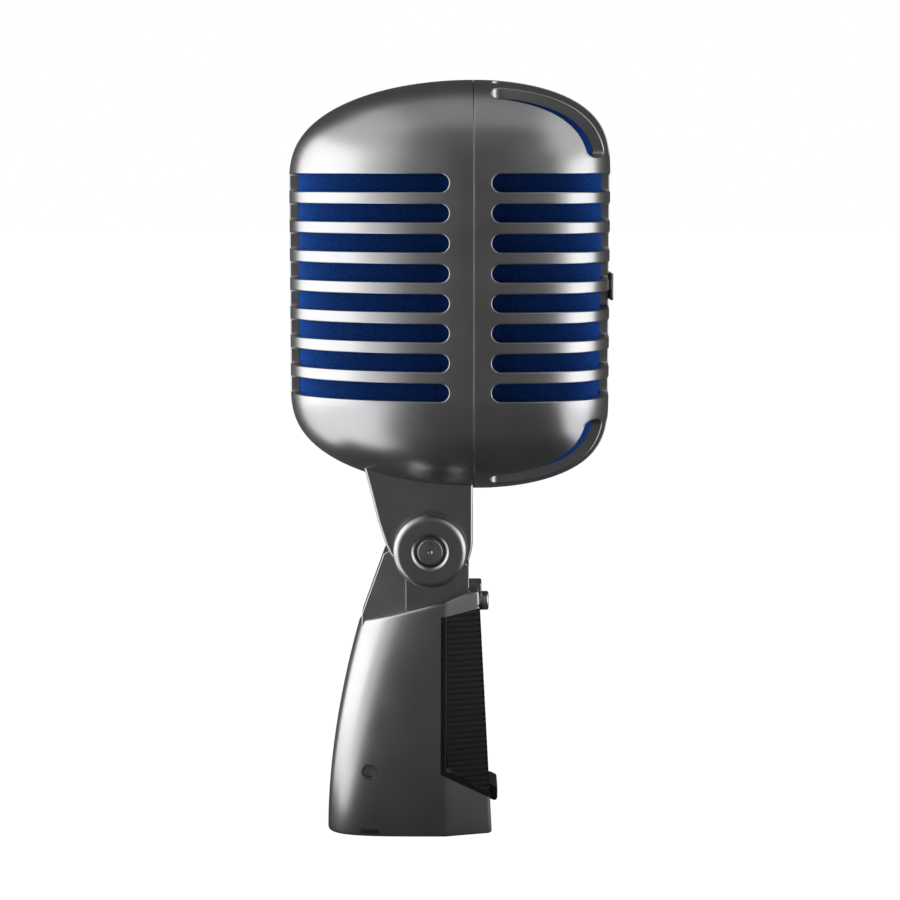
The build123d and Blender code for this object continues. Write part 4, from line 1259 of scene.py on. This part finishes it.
# %% [markdown]
# ## The panel's frame, screws and plate
#
# A black frame holds the ribbed panel along its back edges and its sloping foot, and ends in a lip at the
# nose. Only its inner edge is raised, so it reads as a dark band with one thin light line. Each edge of the
# bar is the panel's outline worked out again with its own margin, so that it follows the taper exactly.

# %% The frame and its lip
frame_width, frame_proud = 1.5, 0.24
upright_points, foot_points = 30, 14


def frame_line(margin, inset):
    """The frame's path from the top of one side down to its foot and on to the nose, set in by margin."""
    share = np.linspace(1, 0, upright_points)
    rear_x = np.interp(share, [0, 1], [panel_back[0][1], panel_back[1][1]]) + margin
    low_x = np.linspace(rear_x[-1], 12, foot_points)[1:-1]
    x = np.concatenate([rear_x, low_x])
    z = np.concatenate([panel_foot + (frame_top - panel_foot) * share, on_plane(*panel_low, low_x)])
    z = np.maximum(z, on_plane(*panel_low, x) + margin)
    for _ in range(settling):
        _, half, front, nose, _ = base_sizes(z, inset)
        x = np.minimum(x, front)
        z = np.where(np.arange(len(z)) >= upright_points, on_plane(*panel_low, x) + margin, z)
    y = half + (nose - half) * np.clip(x / front, 0, 1)
    return np.stack([x, y, z], axis=-1)


# the bar's section as margins and insets: outer foot, outer top, inner raised edge, inner foot, and back
frame_section = ((0.03, recess_inset - 0.05), (0.03, 0.1), (0.1, -0.03), (frame_width - 0.54, -0.03),
                 (frame_width - 0.22, -frame_proud), (frame_width - 0.08, -frame_proud),
                 (frame_width, -frame_proud + 0.1), (frame_width, recess_inset - 0.05),
                 (0.03, recess_inset - 0.05))
near_bar = np.stack([frame_line(margin, inset) for margin, inset in frame_section])
far_bar = near_bar * np.array([1, -1, 1])
bar_grids = []
for bar in (near_bar, far_bar):
    bar_grids += [bar, fan_in(bar[:, 0], bar[:, 0].mean(axis=0))]
nose_share = np.linspace(0, 1, 3)[None, :, None]
foot = near_bar[:, -1][:, None] * (1 - nose_share) + far_bar[:, -1][:, None] * nose_share
frame_bar = closed("frame_bar", *bar_grids, foot)
lip = prism("frame_lip", [(10.6, 8.2), (12.4, 7.5), (13.05, 7.7), (13.25, 8.3), (13.25, 10.9), (13.0, 11.3),
                          (11.6, 12.0), (10.6, 12.0)], -6.0, 6.0)
carve(lip, ("round", 0.3))
finish(joined("panel_frame_and_lip", frame_bar, lip), "base", "black_plastic", "panel_frame")

# %% [markdown]
# ## Screws and plate
#
# The panel's screw has a rounded, slotted head on a thinner shank. The set screw sits at the bottom of its
# dimple with a hexagon socket. The plate on the head's front is bare, with softly rounded edges: its face
# shows one even tone, so the rounding is what makes it read as a separate piece of metal.

# %% The panel's screw
screw_seat, screw_end = 8.2, 11.0
slot_half_width, slot_depth = 0.45, 0.9
panel_screw = plug("panel_screw_turned", panel_screw_axis, 2.4, screw_seat, screw_end, axis=0)
screw_slot = rectangle((-slot_half_width, 50), (slot_half_width, 70))
carve(panel_screw, ("round", 0.5), prism("screw_slot", screw_slot, screw_end - slot_depth, 20, axis=0),
      ("UNION", plug("screw_shank", panel_screw_axis, 1.25, 2.4, screw_seat + 0.5, axis=0)))
finish(panel_screw, "base", "turned_steel", "panel_screw")

# %% The set screw
set_screw = plug("set_screw_turned", set_screw_axis, 1.38, -dimple_floor + 0.3, -8.2)
carve(set_screw, ("round", 0.12),
      plug("hexagon_socket", set_screw_axis, 0.75, -20, -dimple_floor + 1.4, steps=6))
finish(set_screw, "base", "turned_steel", "set_screw")


# %% The bare plate on the head's front
def round_box(half_wide, half_high, radius, steps):
    """The outline of a rectangle with round corners, about the origin."""
    turn = smooth_steps(steps)
    corner = np.stack([half_wide - radius + radius * np.cos(turn),
                       half_high - radius + radius * np.sin(turn)], axis=-1)
    mirror = corner[::-1] * np.array([-1, 1])
    return np.concatenate([corner, mirror, -corner, -mirror])


plate_low, plate_high = box("name_plate")
plate_middle = (plate_low + plate_high) / 2
plate_half = (plate_high - plate_low) / 2
outline = round_box(plate_half[1], plate_half[2], 1.3, 8) + plate_middle[1:]
plate = prism("bare_plate", outline, plate_low[0], plate_high[0], axis=0)
carve(plate, ("round", 0.22))
finish(plate, "head", "dark_chrome", "name_plate")

# %% [markdown]
# ## The foam linings
#
# Each shell is lined with a layer of open-cell foam, cut to the shell and pressed in. It isn't a rigid
# offset of the shell: it stands off the metal a little, swells gently between the places where it is glued,
# and its cut edge at the seam is rounded. It comes up to the metal only behind the ribs at the two ends. So
# its two skins are the head's form drawn in by a varying amount: a product and a sum of long waves round
# and up the shell, which stay well under the foam's own thickness.

# %% The foam
foam_start = 3.2  # from the seam plane to the foam's cut edge
foam_edge_round = 0.4  # how far the rounded cut edge bulges towards the seam
foam_stand_off, foam_thickness, foam_swell = 0.42, 2.7, 0.16
foam_gap = 0.03  # between the shell's wall and the foam where they come closest
foam_flat_share = 0.45  # of the rows that lie on the upright wall
foam_smooth_angle = np.radians(60)


def foam_skin(half, turns, shares, inset):
    """Points of a foam skin from the bottom pole to the top one; shares run from -1 to 1.

    The form reaches from the seam plane, so its distances from there are shrunk to start at the cut.
    """
    swell = (np.sin(3.1 * turns[None, :] + 2.3 * shares[:, None]) * np.sin(5.3 * shares[:, None] + 0.7)
             + 0.5 * np.sin(7.7 * turns[None, :] - 4.1 * shares[:, None] + 1.9))
    level = np.cos(shares * np.pi / 2)[:, None] ** 0.5  # falls to nothing at the poles
    depth = (inset + foam_stand_off * (1 - level * np.cos(turns)[None, :] ** 2)
             + foam_swell * swell * level * np.abs(np.sin(2 * turns))[None, :] ** 0.5)
    side = np.sign(shares)[:, None]
    up = np.abs(shares)[:, None]
    over = np.clip((up - foam_flat_share) / (1 - foam_flat_share), 0, 1)
    rise = np.where(up < foam_flat_share, straight_half * up / foam_flat_share,
                    straight_half + (dome_rise - depth) * np.sin(over * np.pi / 2))
    points = head_skin(half, turns, head_middle + side * rise, depth, 0.0)
    distance = np.abs(points[..., 0] - seam_x)
    cut = foam_start + foam_edge_round
    points[..., 0] = seam_x + half.way * (cut + distance * (1 - cut / (half.reach - depth)))
    return points


def foam_lining(name, half):
    """A closed lining: two skins, and a rounded cut edge between them along the seam."""
    turns, shares = np.linspace(-np.pi / 2, np.pi / 2, 141), np.linspace(-1, 1, 181)
    outer, inner = (foam_skin(half, turns, shares, wall + foam_gap + depth) for depth in (0, foam_thickness))
    bulge = np.array([half.way * foam_edge_round, 0, 0])
    stack = [outer * (1 - a) + inner * a - bulge * np.sin(a * np.pi) for a in np.linspace(0, 1, 7)]
    skin = Skin()
    over = half.way < 0
    add_stack(skin, stack, not over, (first_column, over, None), (last_column, not over, None))
    return skin.piece(name, foam_smooth_angle, outward=True)


finish(foam_lining("front_foam_lining", front_half), "head", "blue_foam", "front_foam")
rear_lining = foam_lining("rear_foam_lining", rear_half)
gap_back, gap_front, gap_half = -25, 5.5, 9.1  # of the opening for the fork's stem
stem_gap = prism("stem_gap", rectangle((gap_back, -gap_half), (gap_front, gap_half)), 80, 102, axis=2)
carve(rear_lining, stem_gap, smooth=foam_smooth_angle)
finish(rear_lining, "head", "blue_foam", "rear_foam")
